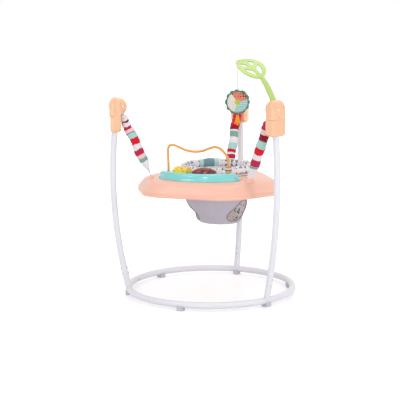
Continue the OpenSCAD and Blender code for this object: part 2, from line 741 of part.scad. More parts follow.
// Console: a half-round bar bent round the tray front, with round ends and a lip along its front
module console_form() intersection() {
  translate([0, 0, tray_top_z - pod_drop]) {
    rotate([0, 0, 270 - console_half_turn]) rotate_extrude(angle = 2 * console_half_turn, $fn = 96) {
      translate([console_r, 0]) circle(r = pod_r);
      translate([lip_at, lip_z - tray_top_z + pod_drop]) circle(r = lip_r);
    }
    for (s = [-1, 1]) rotate([0, 0, 270 + s * console_half_turn]) translate([console_r, 0, 0])
      sphere(r = pod_r);
  }
  translate([-2 * console_r, -2 * console_r, tray_top_z])
    cube([4 * console_r, 3 * console_r, 2 * console_h]);
}

module drum_bar(d, len) on_console(drum_az) translate([0, 0, drum_z]) rotate([90, 0, 0])
  cylinder(d = d, h = len, center = true);

module dome_form(grow, sink) on_console(dome_az) translate([0, 0, dome_z - sink]) rotate([90, 0, 0])
  rotate_extrude($fn = 96) intersection() {
    translate([-dome_bow_r + dome_r + grow, 0]) circle(r = dome_bow_r, $fn = 128);
    translate([0, -dome_len / 2 - grow]) square([dome_r + grow, dome_len + 2 * grow]);
  }
dome_end_r = dome_r * dome_end_share;
dome_bow_r = (dome_len * dome_len / 4 + (dome_r - dome_end_r) * (dome_r - dome_end_r))
  / (2 * (dome_r - dome_end_r));

module wire_feet() for (s = [-1, 1]) translate([s * wire_foot_x, wire_foot_y, 0]) children();

module console() color(turquoise) difference() {
  union() {
    console_form();
    drum_bar(ear_d, drum_len + 2 * drum_gap + 2 * ear_t);
    wire_feet() translate([0, 0, tray_top_z + console_h / 2])
      cylinder(d = boss_d, h = wire_base_z - tray_top_z - console_h / 2);
  }
  drum_bar(drum_d + 2 * drum_gap, drum_len + 2 * drum_gap);
  drum_bar(axle_d + 2 * slip, drum_len + 2 * drum_gap + 2 * ear_t + over);
  for (k = [0:2]) dome_form(dome_gap, dome_travel * k / 2);
  on_console(dome_az) translate([0, 0, tray_top_z + tray_wall])
    cylinder(d = dome_spring_d + 2, h = console_h);
  wire_feet() translate([0, 0, wire_base_z - boss_h - wire_sink])
    cylinder(d = wire_d + 2 * slip, h = wire_sink + 2 * boss_h);
}

module roller_drum() color(clear_yellow) difference() {
  union() {
    drum_bar(drum_d - drum_rib_d, drum_len);
    for (k = [0:drum_ribs - 1]) on_console(drum_az) translate([0, 0, drum_z])
      rotate([0, 360 * k / drum_ribs, 0])
      translate([(drum_d - drum_rib_d) / 2, 0, 0]) rotate([90, 0, 0])
        cylinder(d = drum_rib_d, h = drum_len, center = true);
  }
  drum_bar(axle_d + 2 * run_gap, drum_len + over);
}

module roller_axle() color(steel) drum_bar(axle_d, drum_len + 2 * drum_gap + 2 * ear_t);

module push_dome() color(dome_red) difference() {
  dome_form(0, 0);
  on_console(dome_az) translate([0, 0, dome_z - 2 * dome_r])
    cylinder(d = dome_spring_d + 2, h = 2 * dome_r - dome_r / 2);
}

dome_spring_low_z = tray_top_z + tray_wall + dome_spring_wire_d / 2 + slip;
dome_spring_high_z = dome_z - dome_r / 2 - dome_spring_wire_d / 2 - slip;
dome_spring_path = [for (k = [0:dome_spring_turns * curl_rings]) let (t = 360 * k / curl_rings)
  [(dome_spring_d - dome_spring_wire_d) / 2 * cos(t), (dome_spring_d - dome_spring_wire_d) / 2 * sin(t),
    dome_spring_low_z + (dome_spring_high_z - dome_spring_low_z) * k / (dome_spring_turns * curl_rings)]];
echo(dome_spring_least_gap = least_gap(dome_spring_path, dome_spring_wire_d, 4));

module dome_spring() color(steel) on_console(dome_az)
  skin(tube_rings(dome_spring_path, [for (p = dome_spring_path) dome_spring_wire_d / 2], wire_sides,
    [0, 0.2, 1]));

// Bead wire: straight feet, and a smooth wave between them
wire_points = [for (w = wire_shares) [w[0] * wire_foot_x, wire_foot_y, wire_base_z + w[1] * wire_h]];
wire_path = smooth(wire_points, wire_rings);

module bead_wire() color(wire_orange) {
  skin(tube_rings(wire_path, [for (p = wire_path) wire_d / 2], wire_round_sides, [0, 1, 0]));
  wire_feet() translate([0, 0, wire_base_z - boss_h - wire_sink])
    cylinder(d = wire_d, h = boss_h + wire_sink + wire_shares[0][1] * wire_h);
}

function bead_z(k) = k == 0 ? wire_base_z + bead_lift_gap : bead_z(k - 1)
  + bead_hs[k - 1] + bead_lift_gap;

module bead(k) translate([wire_foot_x, wire_foot_y, bead_z(k)]) rotate_extrude() difference() {
  union() {
    square([bead_ds[k] / 2 - bead_hs[k] / 2, bead_hs[k]]);
    translate([bead_ds[k] / 2 - bead_hs[k] / 2, bead_hs[k] / 2]) circle(d = bead_hs[k]);
  }
  translate([0, -over]) square([wire_d / 2 + bead_gap, bead_hs[k] + 2 * over]);
}

module bead_yellow() color(clear_yellow) bead(0);

module bead_purple() color("mediumpurple") bead(1);

module bead_white() color("white") bead(2);

module bead_orange() color("peru") bead(3);

// Leaf arm: a peg in the right cap, a bent stem, and an arched blade with openings
peg_z = head_z + sqrt(head_r * head_r - (peg_x - head_x) * (peg_x - head_x));

module leaf_peg(d, len) translate([peg_x, 0, peg_z]) rotate([0, peg_lean, 0])
  translate([0, 0, -len]) cylinder(d = d, h = len + stem_sit);

stem_sit = stem_base_d / 4;
stem_points = [for (s = stem_shares) [peg_x + stem_sit * sin(peg_lean) + s[0] * stem_in, 0,
  peg_z + stem_sit * cos(peg_lean) + s[1] * stem_up]];
stem_path = smooth(stem_points, stem_rings);
leaf_base = stem_points[len(stem_points) - 1];

module leaf_boss() translate([peg_x, 0, peg_z]) rotate([0, peg_lean, 0])
  translate([0, 0, -peg_len / 2]) cylinder(d = stem_base_d, h = peg_len / 2 + stem_sit - body_gap);

// Blade outline: two arcs that meet at the tip, from x = 0 at the base
leaf_arc_r = (leaf_len * leaf_len / 4 + leaf_w * leaf_w / 4) / leaf_w;
module leaf_outline(inset) intersection_for(s = [-1, 1])
  translate([leaf_len / 2, s * (leaf_arc_r - leaf_w / 2)]) circle(r = leaf_arc_r - inset, $fn = 128);

module leaf_openings() difference() {
  leaf_outline(leaf_rim_w);
  translate([0, -leaf_rib_w / 2]) square([leaf_len, leaf_rib_w]);
  for (x = leaf_len * [0.36, 0.68]) translate([x, 0]) for (s = [-1, 1]) rotate(s * 50)
    square([leaf_len, leaf_rib_w], center = false);
  translate([leaf_len * 0.8, -leaf_w / 2]) square([leaf_len, leaf_w]);
  square([leaf_len * 0.2, leaf_w], center = true);
}

module leaf_blade() translate(leaf_base) rotate([0, 180 + leaf_rise, 0]) rotate([leaf_roll, 0, 0])
  intersection() {
  translate([0, 0, -leaf_w]) linear_extrude(2 * leaf_w) difference() {
    leaf_outline(0);
    leaf_openings();
  }
  translate([leaf_len / 2, 0, leaf_mid_drop]) rotate([90, 0, 0]) difference() {
    cylinder(r = leaf_bow_r, h = 2 * leaf_w, center = true, $fn = 128);
    cylinder(r = leaf_bow_r - leaf_t, h = 3 * leaf_w, center = true, $fn = 128);
  }
}

module leaf_arm() color(leaf_green) in_leg_plane(right_az) {
  leaf_peg(peg_d, peg_len);
  skin(tube_rings(stem_path, [for (i = [0:len(stem_path) - 1])
    (stem_base_d + (stem_tip_d - stem_base_d) * i / (len(stem_path) - 1)) / 2], wire_round_sides,
      [0, 1, 0]));
  leaf_blade();
}

module toy_string() color("white")
  skin(tube_rings(string_route, [for (p = string_route) string_d / 2], string_sides, [0, 1, 0]));

// Plush: a swollen disc with a scalloped edge, its face turned to plush_face_az
function plush_ring(s) = [for (j = [0:plush_sides - 1]) let (t = 360 * j / plush_sides)
  let (r = s[0] * plush_d / 2 * (1 - scallop_share * s[0] * (1 - cos(plush_scallops * t)) / 2))
    [s[1] * plush_t / 2, r * cos(t), r * sin(t)]];

module at_plush() translate([string_end[0], string_end[1], plush_z]) rotate([0, 0, plush_face_az])
  children();

module plush_toy() color(plush_green) at_plush() skin([for (s = plush_shares) plush_ring(s)]);

module ribbon_tail() color("orange") at_plush() translate([-ribbon_t / 2, 0, -plush_d / 2 - body_gap])
  rotate([90, 0, 90])
  linear_extrude(ribbon_t) polygon([[-ribbon_top_w / 2, 0], [ribbon_top_w / 2, 0],
    [ribbon_w / 2, -ribbon_len], [-ribbon_w / 2, -ribbon_len]]);

ring_front_half();
ring_rear_half();
ring_joiners();
ring_screws();
ring_feet();
left_leg();
right_leg();
rear_leg();
leg_bolts();
left_cap_body();
right_cap_body();
rear_cap_body();
left_cap_cover();
right_cap_cover();
rear_cap_cover();
cap_screws();
anchor_pins();
left_spring();
right_spring();
rear_spring();
left_sleeve();
right_sleeve();
rear_sleeve();
left_strap();
right_strap();
rear_strap();
strap_bars();
strap_sliders();
tray_top();
tray_bottom();
tray_screws();
seat_ring();
seat_keeper();
seat_glides();
seat_bucket();
seat_collar();
console();
roller_drum();
roller_axle();
push_dome();
dome_spring();
bead_wire();
bead_yellow();
bead_purple();
bead_white();
bead_orange();
leaf_arm();
toy_string();
plush_toy();
ribbon_tail();
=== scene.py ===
# %% [markdown]
# A baby jumper frame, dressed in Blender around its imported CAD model.
# The CAD model fixes every place and size. This lesson loads it as a frame that never moves, gives each rigid
# piece its finish, and swaps the plain solids of soft and swept pieces for surfaces worked out with numpy.
# All lengths are metres in the frame of the CAD model: origin on the floor in the middle of the base ring, +Z up.

# %% Load the frame
import json
import math

import bmesh
import bpy
import numpy as np
from mathutils import Matrix, Vector


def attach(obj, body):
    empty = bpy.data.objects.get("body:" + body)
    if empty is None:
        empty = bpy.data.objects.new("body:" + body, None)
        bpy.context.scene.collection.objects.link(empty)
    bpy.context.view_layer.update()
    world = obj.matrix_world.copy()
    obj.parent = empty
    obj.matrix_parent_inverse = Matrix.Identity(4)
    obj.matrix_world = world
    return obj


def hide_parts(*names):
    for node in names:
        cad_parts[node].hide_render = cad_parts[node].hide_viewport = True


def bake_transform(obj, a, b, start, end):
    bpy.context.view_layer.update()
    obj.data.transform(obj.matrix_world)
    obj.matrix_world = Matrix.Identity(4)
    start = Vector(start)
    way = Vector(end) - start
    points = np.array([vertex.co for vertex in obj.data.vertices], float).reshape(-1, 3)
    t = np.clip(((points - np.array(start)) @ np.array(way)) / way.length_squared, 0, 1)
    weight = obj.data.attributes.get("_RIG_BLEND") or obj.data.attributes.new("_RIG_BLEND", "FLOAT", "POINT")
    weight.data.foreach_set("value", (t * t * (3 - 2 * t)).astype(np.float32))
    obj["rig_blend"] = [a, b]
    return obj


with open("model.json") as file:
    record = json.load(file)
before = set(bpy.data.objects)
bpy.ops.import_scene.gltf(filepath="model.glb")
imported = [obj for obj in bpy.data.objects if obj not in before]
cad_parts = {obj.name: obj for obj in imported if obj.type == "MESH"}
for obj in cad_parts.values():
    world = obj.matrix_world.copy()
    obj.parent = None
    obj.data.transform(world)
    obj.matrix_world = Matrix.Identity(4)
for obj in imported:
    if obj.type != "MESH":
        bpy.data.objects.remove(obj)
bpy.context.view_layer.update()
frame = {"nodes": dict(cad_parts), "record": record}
nodes = frame["nodes"]
MM = 0.001
TURN = 2 * math.pi

# %% [markdown]
# The photograph was taken from far away with a long lens, looking a little down. The camera is written as a
# photographer would describe it: where it stands, how far down it looks, and its focal length.
# The picture is taken to be 400 by 400 pixels.

# %% Camera
camera_azimuth = math.radians(290)
camera_distance = 4.5
camera_height = 1.0918
camera_yaw = math.radians(-0.55)
camera_pitch = math.radians(8.84)
camera_roll = math.radians(-0.34)
focal_length_px = 1082.2
picture_px = 400


def camera_matrix():
    """Right, up and backward directions as columns: look along yaw and pitch, roll about that, turn to the azimuth."""
    ahead = Vector((math.sin(camera_yaw) * math.cos(camera_pitch),
                    math.cos(camera_yaw) * math.cos(camera_pitch), -math.sin(camera_pitch)))
    level = Vector((math.cos(camera_yaw), -math.sin(camera_yaw), 0))
    upright = level.cross(ahead)
    right = math.cos(camera_roll) * level + math.sin(camera_roll) * upright
    up = math.cos(camera_roll) * upright - math.sin(camera_roll) * level
    turned = Matrix((right, up, -ahead)).transposed().to_4x4()
    turned.translation = Vector((0, -camera_distance, camera_height))
    return Matrix.Rotation(camera_azimuth - math.radians(270), 4, "Z") @ turned


camera = bpy.data.objects.new("camera", bpy.data.cameras.new("camera"))
bpy.context.scene.collection.objects.link(camera)
camera.data.sensor_width = 36
camera.data.lens = focal_length_px / picture_px * camera.data.sensor_width
camera.data.clip_end = 100
camera.matrix_world = camera_matrix()
bpy.context.scene.camera = camera
print("camera", [round(x, 3) for x in camera.location], "lens", round(camera.data.lens, 1), "mm")

# %% [markdown]
# Nearly every new piece is a grid of points: a function of two parameters, worked out as whole arrays.
# One helper turns such a grid into a mesh, closes it where it wraps round, and keeps a UV map in metres,
# so that a weave or a stripe can follow the cloth.

# %% From a grid of points to a mesh
def corners_of(grid):
    """The four corners of every cell of a grid, one cell after another."""
    return np.stack([grid[:-1, :-1], grid[1:, :-1], grid[1:, 1:], grid[:-1, 1:]], -1).reshape(-1, 4)


def surface(name, points, wrap_rows=False, wrap_columns=False, size=(1.0, 1.0), keep=None):
    """A mesh over points[row, column]. UV = share along the rows and columns times size. keep drops cells."""
    rows, columns = points.shape[:2]
    index = np.arange(rows * columns).reshape(rows, columns)
    index = np.vstack([index, index[:1]]) if wrap_rows else index
    index = np.hstack([index, index[:, :1]]) if wrap_columns else index
    u, v = np.meshgrid(np.linspace(0, size[0], index.shape[0]), np.linspace(0, size[1], index.shape[1]), indexing="ij")
    cells, cell_u, cell_v = corners_of(index), corners_of(u), corners_of(v)
    if keep is not None:
        cells, cell_u, cell_v = (a[keep.reshape(-1)] for a in (cells, cell_u, cell_v))
    mesh = bpy.data.meshes.new(name)
    mesh.from_pydata(points.reshape(-1, 3).tolist(), [], cells.tolist())
    uv = mesh.uv_layers.new(name="UVMap")
    uv.data.foreach_set("uv", np.stack([cell_u, cell_v], -1).astype(np.float32).ravel())
    piece = bpy.data.objects.new(name, mesh)
    bpy.context.scene.collection.objects.link(piece)
    return tidy(piece)


def tidy(piece, weld=1e-6):
    """Merges doubled points, drops loose ones, points the faces outwards and shades them smooth."""
    work = bmesh.new()
    work.from_mesh(piece.data)
    bmesh.ops.remove_doubles(work, verts=work.verts, dist=weld)
    bmesh.ops.dissolve_degenerate(work, edges=work.edges, dist=weld)
    bmesh.ops.delete(work, geom=[v for v in work.verts if not v.link_faces], context="VERTS")
    bmesh.ops.recalc_face_normals(work, faces=work.faces)
    work.to_mesh(piece.data)
    work.free()
    piece.data.shade_smooth()
    return piece


def joined(name, pieces):
    """One object made of several, named for the whole."""
    with bpy.context.temp_override(active_object=pieces[0], selected_editable_objects=pieces):
        bpy.ops.object.join()
    pieces[0].name = name
    pieces[0].data.name = name
    return pieces[0]


def place(piece, body, slot_name, *stands_for, material=None):
    """Gives a piece its material or its slot's finish and its body, and hides the CAD nodes that it stands for."""
    piece.data.materials.clear()
    piece.data.materials.append(material or finish[slot_name])
    if "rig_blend" not in piece:
        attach(piece, body)
    if stands_for:
        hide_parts(*stands_for)
    print(piece.name, len(piece.data.polygons), "faces on", body)
    return piece


# %% Curves and tubes
def unit(vectors):
    """Vectors scaled to length one."""
    return vectors / np.linalg.norm(vectors, axis=-1, keepdims=True)


def smooth(points, steps):
    """Catmull-Rom curve through the points: on each span a cubic whose slopes are half the neighbours' chords."""
    points = np.asarray(points, float)
    padded = np.vstack([2 * points[0] - points[1], points, 2 * points[-1] - points[-2]])
    a, b, c, d = (padded[k:len(padded) - 3 + k, None, :] for k in range(4))
    t = np.linspace(0, 1, steps, endpoint=False)[None, :, None]
    spans = b + t * (c - a) / 2 + t**2 * (a - 2.5 * b + 2 * c - d / 2) + t**3 * (1.5 * (b - c) + (d - a) / 2)
    return np.vstack([spans.reshape(-1, points.shape[1]), points[-1:]])


end_widths, end_bulge = np.array([0, 0.5, 0.86, 1.0]), 0.3


def tube(name, path, radius, side, sides=16):
    """A round profile carried along a path: point = path + r (cos a * side + sin a * up). Low domes close its ends."""
    path = np.asarray(path, float)
    along = unit(np.gradient(path, axis=0))
    side = np.broadcast_to(np.asarray(side, float), path.shape)
    side = unit(side - (side * along).sum(-1, keepdims=True) * along)
    up = np.cross(along, side)
    radius = np.broadcast_to(np.asarray(radius, float), len(path))
    path = np.vstack([path[0] - end_bulge * radius[0] * end_widths[::-1, None] * along[0], path[1:-1],
                      path[-1] + end_bulge * radius[-1] * end_widths[:, None] * along[-1]])
    radius = np.hstack([radius[0] * end_widths, radius[1:-1], radius[-1] * end_widths[::-1]])
    rings = len(end_widths)
    side, up = (np.vstack([np.repeat(a[:1], rings, 0), a[1:-1], np.repeat(a[-1:], rings, 0)]) for a in (side, up))
    turn = np.linspace(0, TURN, sides, endpoint=False)[None, :, None]
    ring = np.cos(turn) * side[:, None] + np.sin(turn) * up[:, None]
    length = np.linalg.norm(np.diff(path, axis=0), axis=1).sum()
    return surface(name, path[:, None] + radius[:, None, None] * ring, wrap_columns=True,
                   size=(length, TURN * radius.max()))


def helix(radius, turns, start, end):
    """(r cos t, r sin t) round the z axis, rising evenly from start to end over the turns."""
    return np.stack([radius * np.cos(TURN * turns), radius * np.sin(TURN * turns),
                     start + (end - start) * turns / turns[-1]], -1)


# %% Places turned about the z axis
def rotate(a, b, angle):
    """Two coordinates turned by an angle in their plane: (a cos - b sin, a sin + b cos)."""
    return a * math.cos(angle) - b * math.sin(angle), a * math.sin(angle) + b * math.cos(angle)


def at_azimuth(out, across, height, azimuth):
    """The place that lies so far out along an azimuth, so far across it, and so high."""
    return np.stack([*rotate(out, across, azimuth), height], -1)


def out_and_across(x, y, azimuth):
    """The way back: how far out along the azimuth a place is, and how far across it."""
    return rotate(x, y, -azimuth)


leg_azimuths = {"left": math.radians(210), "right": math.radians(330), "rear": math.radians(90)}


# %% Work on a finished mesh
def points_of(piece):
    """The places of a mesh's points as an array."""
    flat = np.empty(3 * len(piece.data.vertices))
    piece.data.vertices.foreach_get("co", flat)
    return flat.reshape(-1, 3)


def move_points(piece, points):
    """Writes an array of places into a mesh."""
    piece.data.vertices.foreach_set("co", points.ravel())
    piece.data.update()


def apply_all(piece):
    """Applies every modifier of a piece."""
    with bpy.context.temp_override(object=piece, active_object=piece):
        for modifier in list(piece.modifiers):
            bpy.ops.object.modifier_apply(modifier=modifier.name)


def even_cells(piece, cell):
    """Remeshes a closed piece into even cells of that size."""
    remesh = piece.modifiers.new("cells", "REMESH")
    remesh.mode, remesh.voxel_size = "VOXEL", cell
    apply_all(piece)


def thicken(piece, thickness, offset=-1.0, inside=0):
    """Gives a sheet its thickness with a Solidify that is applied at once."""
    modifier = piece.modifiers.new("thickness", "SOLIDIFY")
    modifier.thickness, modifier.offset, modifier.material_offset = thickness, offset, inside
    apply_all(piece)


print("grid, tube and mesh helpers ready")

# %% [markdown]
# Shader nodes are easier to read as a few calls than as a screen of noodles. The helpers add a node, set its
# values and link its inputs. Effects that several finishes share become node groups: the fine grain of moulded
# plastic and paint, the weave of cloth, and the scattered marks of a print.

# %% Node helpers
def put(tree, kind, inputs=(), **settings):
    """Adds a node. A socket given as an input is linked, a plain value is set on the node."""
    node = tree.nodes.new("ShaderNode" + kind)
    for key, value in settings.items():
        setattr(node, key, value)
    for key, value in dict(inputs).items():
        if isinstance(value, bpy.types.NodeSocket):
            tree.links.new(value, node.inputs[key])
        else:
            node.inputs[key].default_value = value
    return node


def sums(tree, operation, *values):
    """The result of a Math node."""
    return put(tree, "Math", dict(enumerate(values)), operation=operation).outputs[0]


def below(tree, value, edge):
    """1 where value is under edge, else 0."""
    return sums(tree, "LESS_THAN", value, edge)


def above(tree, value, edge):
    """1 where value is over edge, else 0."""
    return sums(tree, "GREATER_THAN", value, edge)


def sine(tree, value, rate):
    """The sine of a value times a rate."""
    return sums(tree, "SINE", sums(tree, "MULTIPLY", value, rate))


def apart(tree, first, second):
    """How far two values are from each other."""
    return sums(tree, "ABSOLUTE", sums(tree, "SUBTRACT", first, second))


def remap(tree, value, low, high, first=0.0, last=1.0):
    """A value that goes from first to last, stretched so that it goes from low to high."""
    return put(tree, "MapRange", {"Value": value, 1: first, 2: last, 3: low, 4: high}).outputs[0]


def object_place(tree):
    """Where a point lies on the object, in metres."""
    return put(tree, "TexCoord").outputs["Object"]


def noise(tree, scale, detail=2.0, distortion=0.0):
    """Smooth noise over the object's own metres."""
    return put(tree, "TexNoise", {"Vector": object_place(tree), "Scale": scale, "Detail": detail,
                                  "Distortion": distortion}).outputs["Fac"]


def uv_parts(tree):
    """The two values of a piece's own UV map, in metres."""
    return put(tree, "SeparateXYZ", {0: put(tree, "UVMap").outputs["UV"]}).outputs


def blend_colour(tree, share, first, second):
    """first where share is 0, second where it is 1."""
    tint = [(*c, 1) if isinstance(c, tuple) and len(c) == 3 else c for c in (first, second)]
    return put(tree, "Mix", {0: share, 6: tint[0], 7: tint[1]}, data_type="RGBA").outputs[2]


def new_group(name, inputs, outputs):
    """A shader node group with named number inputs and outputs. Gives the tree, its input and its output node."""
    tree = bpy.data.node_groups.new(name, "ShaderNodeTree")
    for label, value in inputs.items():
        tree.interface.new_socket(label, in_out="INPUT", socket_type="NodeSocketFloat").default_value = value
    for label in outputs:
        tree.interface.new_socket(label, in_out="OUTPUT", socket_type="NodeSocketFloat")
    return tree, tree.nodes.new("NodeGroupInput"), tree.nodes.new("NodeGroupOutput")


def use_group(tree, group, **values):
    """Places a node group in a material with its own values. Gives its outputs."""
    return put(tree, "Group", values, node_tree=group).outputs


def new_material(name, **sockets):
    """A material with its node tree and its Principled shader, whose plain values are set on its own sockets."""
    material = bpy.data.materials.new(name)
    material.use_nodes = True
    shader = material.node_tree.nodes["Principled BSDF"]
    for label, value in sockets.items():
        shader.inputs[label.replace("_", " ")].default_value = value
    return material, material.node_tree, shader


def srgb(red, green, blue):
    """A colour read off a screen, 0 to 255, as the linear value that shaders use."""
    share = np.array([red, green, blue]) / 255
    return tuple(np.where(share <= 0.04045, share / 12.92, ((share + 0.055) / 1.055) ** 2.4).tolist())


# %% Group: the grain of moulded plastic and paint
grain, grain_in, grain_out = new_group("moulded_grain", {"Grain": 900.0, "Blotch": 7.0}, ["Height", "Shade", "Smudge"])
for label, scale, detail in (("Height", grain_in.outputs["Grain"], 2.0), ("Shade", grain_in.outputs["Blotch"], 3.0),
                             ("Smudge", 55.0, 4.0)):
    grain.links.new(noise(grain, scale, detail), grain_out.inputs[label])
print("group", grain.name)

# %% Group: the weave of cloth
weave, weave_in, weave_out = new_group("cloth_weave", {"Threads": 900.0, "Slub": 140.0}, ["Height", "Shade", "Crease"])
weave_turn = sums(weave, "MULTIPLY", weave_in.outputs["Threads"], TURN / 2)
over_thread, under_thread = (sine(weave, value, weave_turn) for value in uv_parts(weave)[:2])
for label, value in (("Height", sums(weave, "MULTIPLY", over_thread, under_thread)),
                     ("Shade", noise(weave, weave_in.outputs["Slub"], detail=3.0)),
                     ("Crease", noise(weave, 32.0, distortion=1.2))):
    weave.links.new(value, weave_out.inputs[label])
print("group", weave.name)

# %% [markdown]
# The rigid pieces are powder-coated steel tube and injection-moulded plastic. Both are smooth with a very fine
# skin, so their material is a base colour that drifts a little, a roughness that varies with handling, and a
# bump too fine to see as bumps but enough to soften reflections.

# %% Moulded and painted finishes
def moulded(name, colour, rough, coat=0.0, drift=0.05, skin=0.04, metal=0.0, shine=0.5, lumps_and_glints=None):
    """Colour drifts by the group's Shade, roughness by its Smudge, bump from its Height. A second colour in cells
    paints lumps seen inside a part and painted glints of light.
    """
    material, tree, shader = new_material(name, Coat_Weight=coat, Coat_Roughness=0.05, Metallic=metal,
                                          Specular_IOR_Level=shine)
    skin_of = use_group(tree, grain)
    painted = blend_colour(tree, skin_of["Shade"], tuple(c * (1 - drift) for c in colour), colour)
    # Cells of a second colour: darker lumps seen inside the drum, and painted glints of light inside the dome.
    if lumps_and_glints:
        cells = put(tree, "TexVoronoi", {"Vector": object_place(tree), "Scale": 75.0}).outputs["Distance"]
        painted = blend_colour(tree, remap(tree, cells, 0.75, 0.0, first=0.25, last=0.5), painted, lumps_and_glints)
    roughness = remap(tree, skin_of["Smudge"], rough * 0.8, rough * 1.2)
    bump = put(tree, "Bump", {"Strength": skin, "Distance": 0.6 * MM, "Height": skin_of["Height"]}).outputs[0]
    for label, value in (("Base Color", painted), ("Roughness", roughness), ("Normal", bump)):
        tree.links.new(value, shader.inputs[label])
    return material


finish_of = {
    "powder_white": ((236, 236, 243), 0.34, dict(coat=0.15, skin=0.12)),
    "bright_steel": ((205, 205, 210), 0.28, dict(metal=1.0)),
    "foot_plastic": ((205, 203, 214), 0.5, dict(skin=0.2)),
    "cap_plastic": ((251, 194, 150), 0.3, dict(coat=1.0)),
    "tray_plastic": ((250, 194, 172), 0.38, dict(coat=0.2)),
    "console_plastic": ((120, 218, 218), 0.16, dict(coat=1.0)),
    "wire_coating": ((240, 165, 62), 0.28, dict(coat=0.3)),
    "drum_plastic": ((252, 222, 50), 0.12, dict(coat=0.8, lumps_and_glints=srgb(196, 140, 20))),
    # The dome's lighter orange cells are painted glints of light inside the dark red plastic.
    "dome_plastic": ((104, 12, 8), 0.1, dict(coat=0.6, shine=0.4, lumps_and_glints=srgb(190, 62, 30))),
    "yellow_plastic": ((240, 196, 60), 0.25, dict(coat=0.3)),
    "purple_plastic": ((150, 110, 165), 0.25, dict(coat=0.3)),
    "white_plastic": ((244, 242, 244), 0.25, dict(coat=0.3)),
    "amber_plastic": ((214, 140, 80), 0.25, dict(coat=0.3)),
    "leaf_plastic": ((188, 215, 116), 0.34, dict(coat=0.25)),
    "seat_plastic": ((236, 234, 238), 0.4, {}),
}
finish = {name: moulded(name, srgb(*colour), rough, **more) for name, (colour, rough, more) in finish_of.items()}
slot_of = {row["node"]: row["material_slot"] for row in frame["record"]["subparts"]}
for node_name, node in nodes.items():
    node.data.materials.clear()
    node.data.materials.append(finish.get(slot_of[node_name], finish["white_plastic"]))
print(len(finish), "moulded finishes on", len(nodes), "nodes")

# %% [markdown]
# Moulded caps have no sharp edges. A copy of the CAD solid, remeshed into small even cells and then smoothed, loses
# its corners and keeps its form, its bores and the parting line between body and cover. That rounds an edge by a few
# millimetres only. The caps are rounder still, so their points also move from the level they have in the CAD form's
# distance field to the same level of a softened field, in which front and side outline melt into a dome.

# %% Distance fields
field_limit = 0.04


def soft_least(*fields, soft=2.5 * MM):
    """The least of several fields, with its corners rounded: -soft * log(sum(exp(-field / soft)))."""
    return -soft * np.log(sum(np.exp(-np.clip(f, -field_limit, field_limit) / soft) for f in fields))


def rounded_corner(first, second, radius):
    """Distance outside a corner of that radius, from the distances beyond its two sides."""
    first, second = first + radius, second + radius
    outside = np.hypot(np.maximum(first, 0), np.maximum(second, 0))
    return outside + np.minimum(np.maximum(first, second), 0) - radius


def ease(x):
    """0 below 0, 1 above 1, and smooth between."""
    x = np.clip(x, 0, 1)
    return x * x * (3 - 2 * x)


# %% The caps' softened form
head_place, head_radius = np.array([383.37, 790.5]) * MM, 38.5 * MM
pod_face, pod_out, pod_low, pod_half = 371.87 * MM, 419.87 * MM, 687 * MM, 38 * MM
pod_foot, pod_edge = 21 * MM, 14 * MM
soft_plan, soft_foot, soft_arch, head_squeeze = 16 * MM, 13 * MM, 24 * MM, 1.6
fade_inside, fade_outside = 9 * MM, 3 * MM


def cap_parts(local):
    """How far out and up from the head's middle, and the distances outside the pod's sides and outside its faces."""
    radius, across, height = local
    return (radius - head_place[0], height - head_place[1], np.abs(across) - pod_half,
            np.maximum(pod_face - radius, radius - pod_out))


def cap_fields(local):
    """Distances outside the front outline, the side outline, the plan and the round head, in the leg's plane."""
    radius, across, height = local
    far, high, beside, between = cap_parts(local)
    front = np.where(high > 0, np.hypot(across, high) - pod_half, rounded_corner(beside, pod_low - height, pod_foot))
    crown = np.maximum(np.hypot(far, high) - head_radius, np.maximum(-far, radius - pod_out))
    side = np.where(high > 0, crown, between)
    ball = np.sqrt(far**2 + across**2 + high**2) - head_radius
    return front, side, rounded_corner(beside, between, pod_edge), ball


def soft_cap(local):
    """A rounded plan that rises into a dome, joined by a fillet to a head that is narrower across than it is deep."""
    _, across, height = local
    far, high, beside, between = cap_parts(local)
    plan = rounded_corner(beside, between, soft_plan)
    rise = np.maximum(high, 0) * soft_arch / head_radius
    crown = np.hypot(np.maximum(plan + soft_arch, 0), rise) - soft_arch
    pod = np.where(high > 0, crown, rounded_corner(plan, pod_low - height, soft_foot))
    head = np.sqrt(far**2 + (across * head_squeeze) ** 2 + high**2) - head_radius
    return soft_least(pod, head, soft=2 * MM)


def soften_cap(local):
    """Newton steps from each point to the softened form's level of the depth that it has in the CAD form."""
    front, side, plan, ball = cap_fields(local)
    depth = np.minimum(np.maximum.reduce([front, side, plan]), ball)
    moved, step = local.copy(), 0.05 * MM
    for _ in range(6):
        slope = np.stack([soft_cap(moved + step * axis) - soft_cap(moved - step * axis)
                          for axis in np.eye(3)[:, :, None]]) / (2 * step)
        miss = np.clip(soft_cap(moved) - depth, -3 * MM, 3 * MM)
        moved = moved - miss * slope / np.maximum((slope**2).sum(0), 0.3)
    return local + (moved - local) * np.exp(-((depth / np.where(depth < 0, fade_inside, fade_outside)) ** 2))


# %% Rounded mouldings
def rounded(node_name, body, cell, passes, shape):
    """A merged copy of a CAD node, remeshed and smoothed. shape(before, after smoothing) gives its points."""
    piece = bpy.data.objects.new(node_name + "_moulding", nodes[node_name].data.copy())
    bpy.context.scene.collection.objects.link(piece)
    tidy(piece, weld=1e-5)
    even_cells(piece, cell)
    before = points_of(piece)
    soften = piece.modifiers.new("soften", "SMOOTH")
    soften.factor, soften.iterations = 0.5, passes
    apply_all(piece)
    move_points(piece, shape(before, points_of(piece)))
    piece.data.shade_smooth()
    return place(piece, body, slot_of[node_name], node_name)


def cap_shape(azimuth):
    """For one leg: the smoothed points, turned into the leg's plane, softened and turned back."""
    def shape(_, after):
        out, across = out_and_across(after[:, 0], after[:, 1], azimuth)
        return at_azimuth(*soften_cap(np.stack([out, across, after[:, 2]])), azimuth)
    return shape


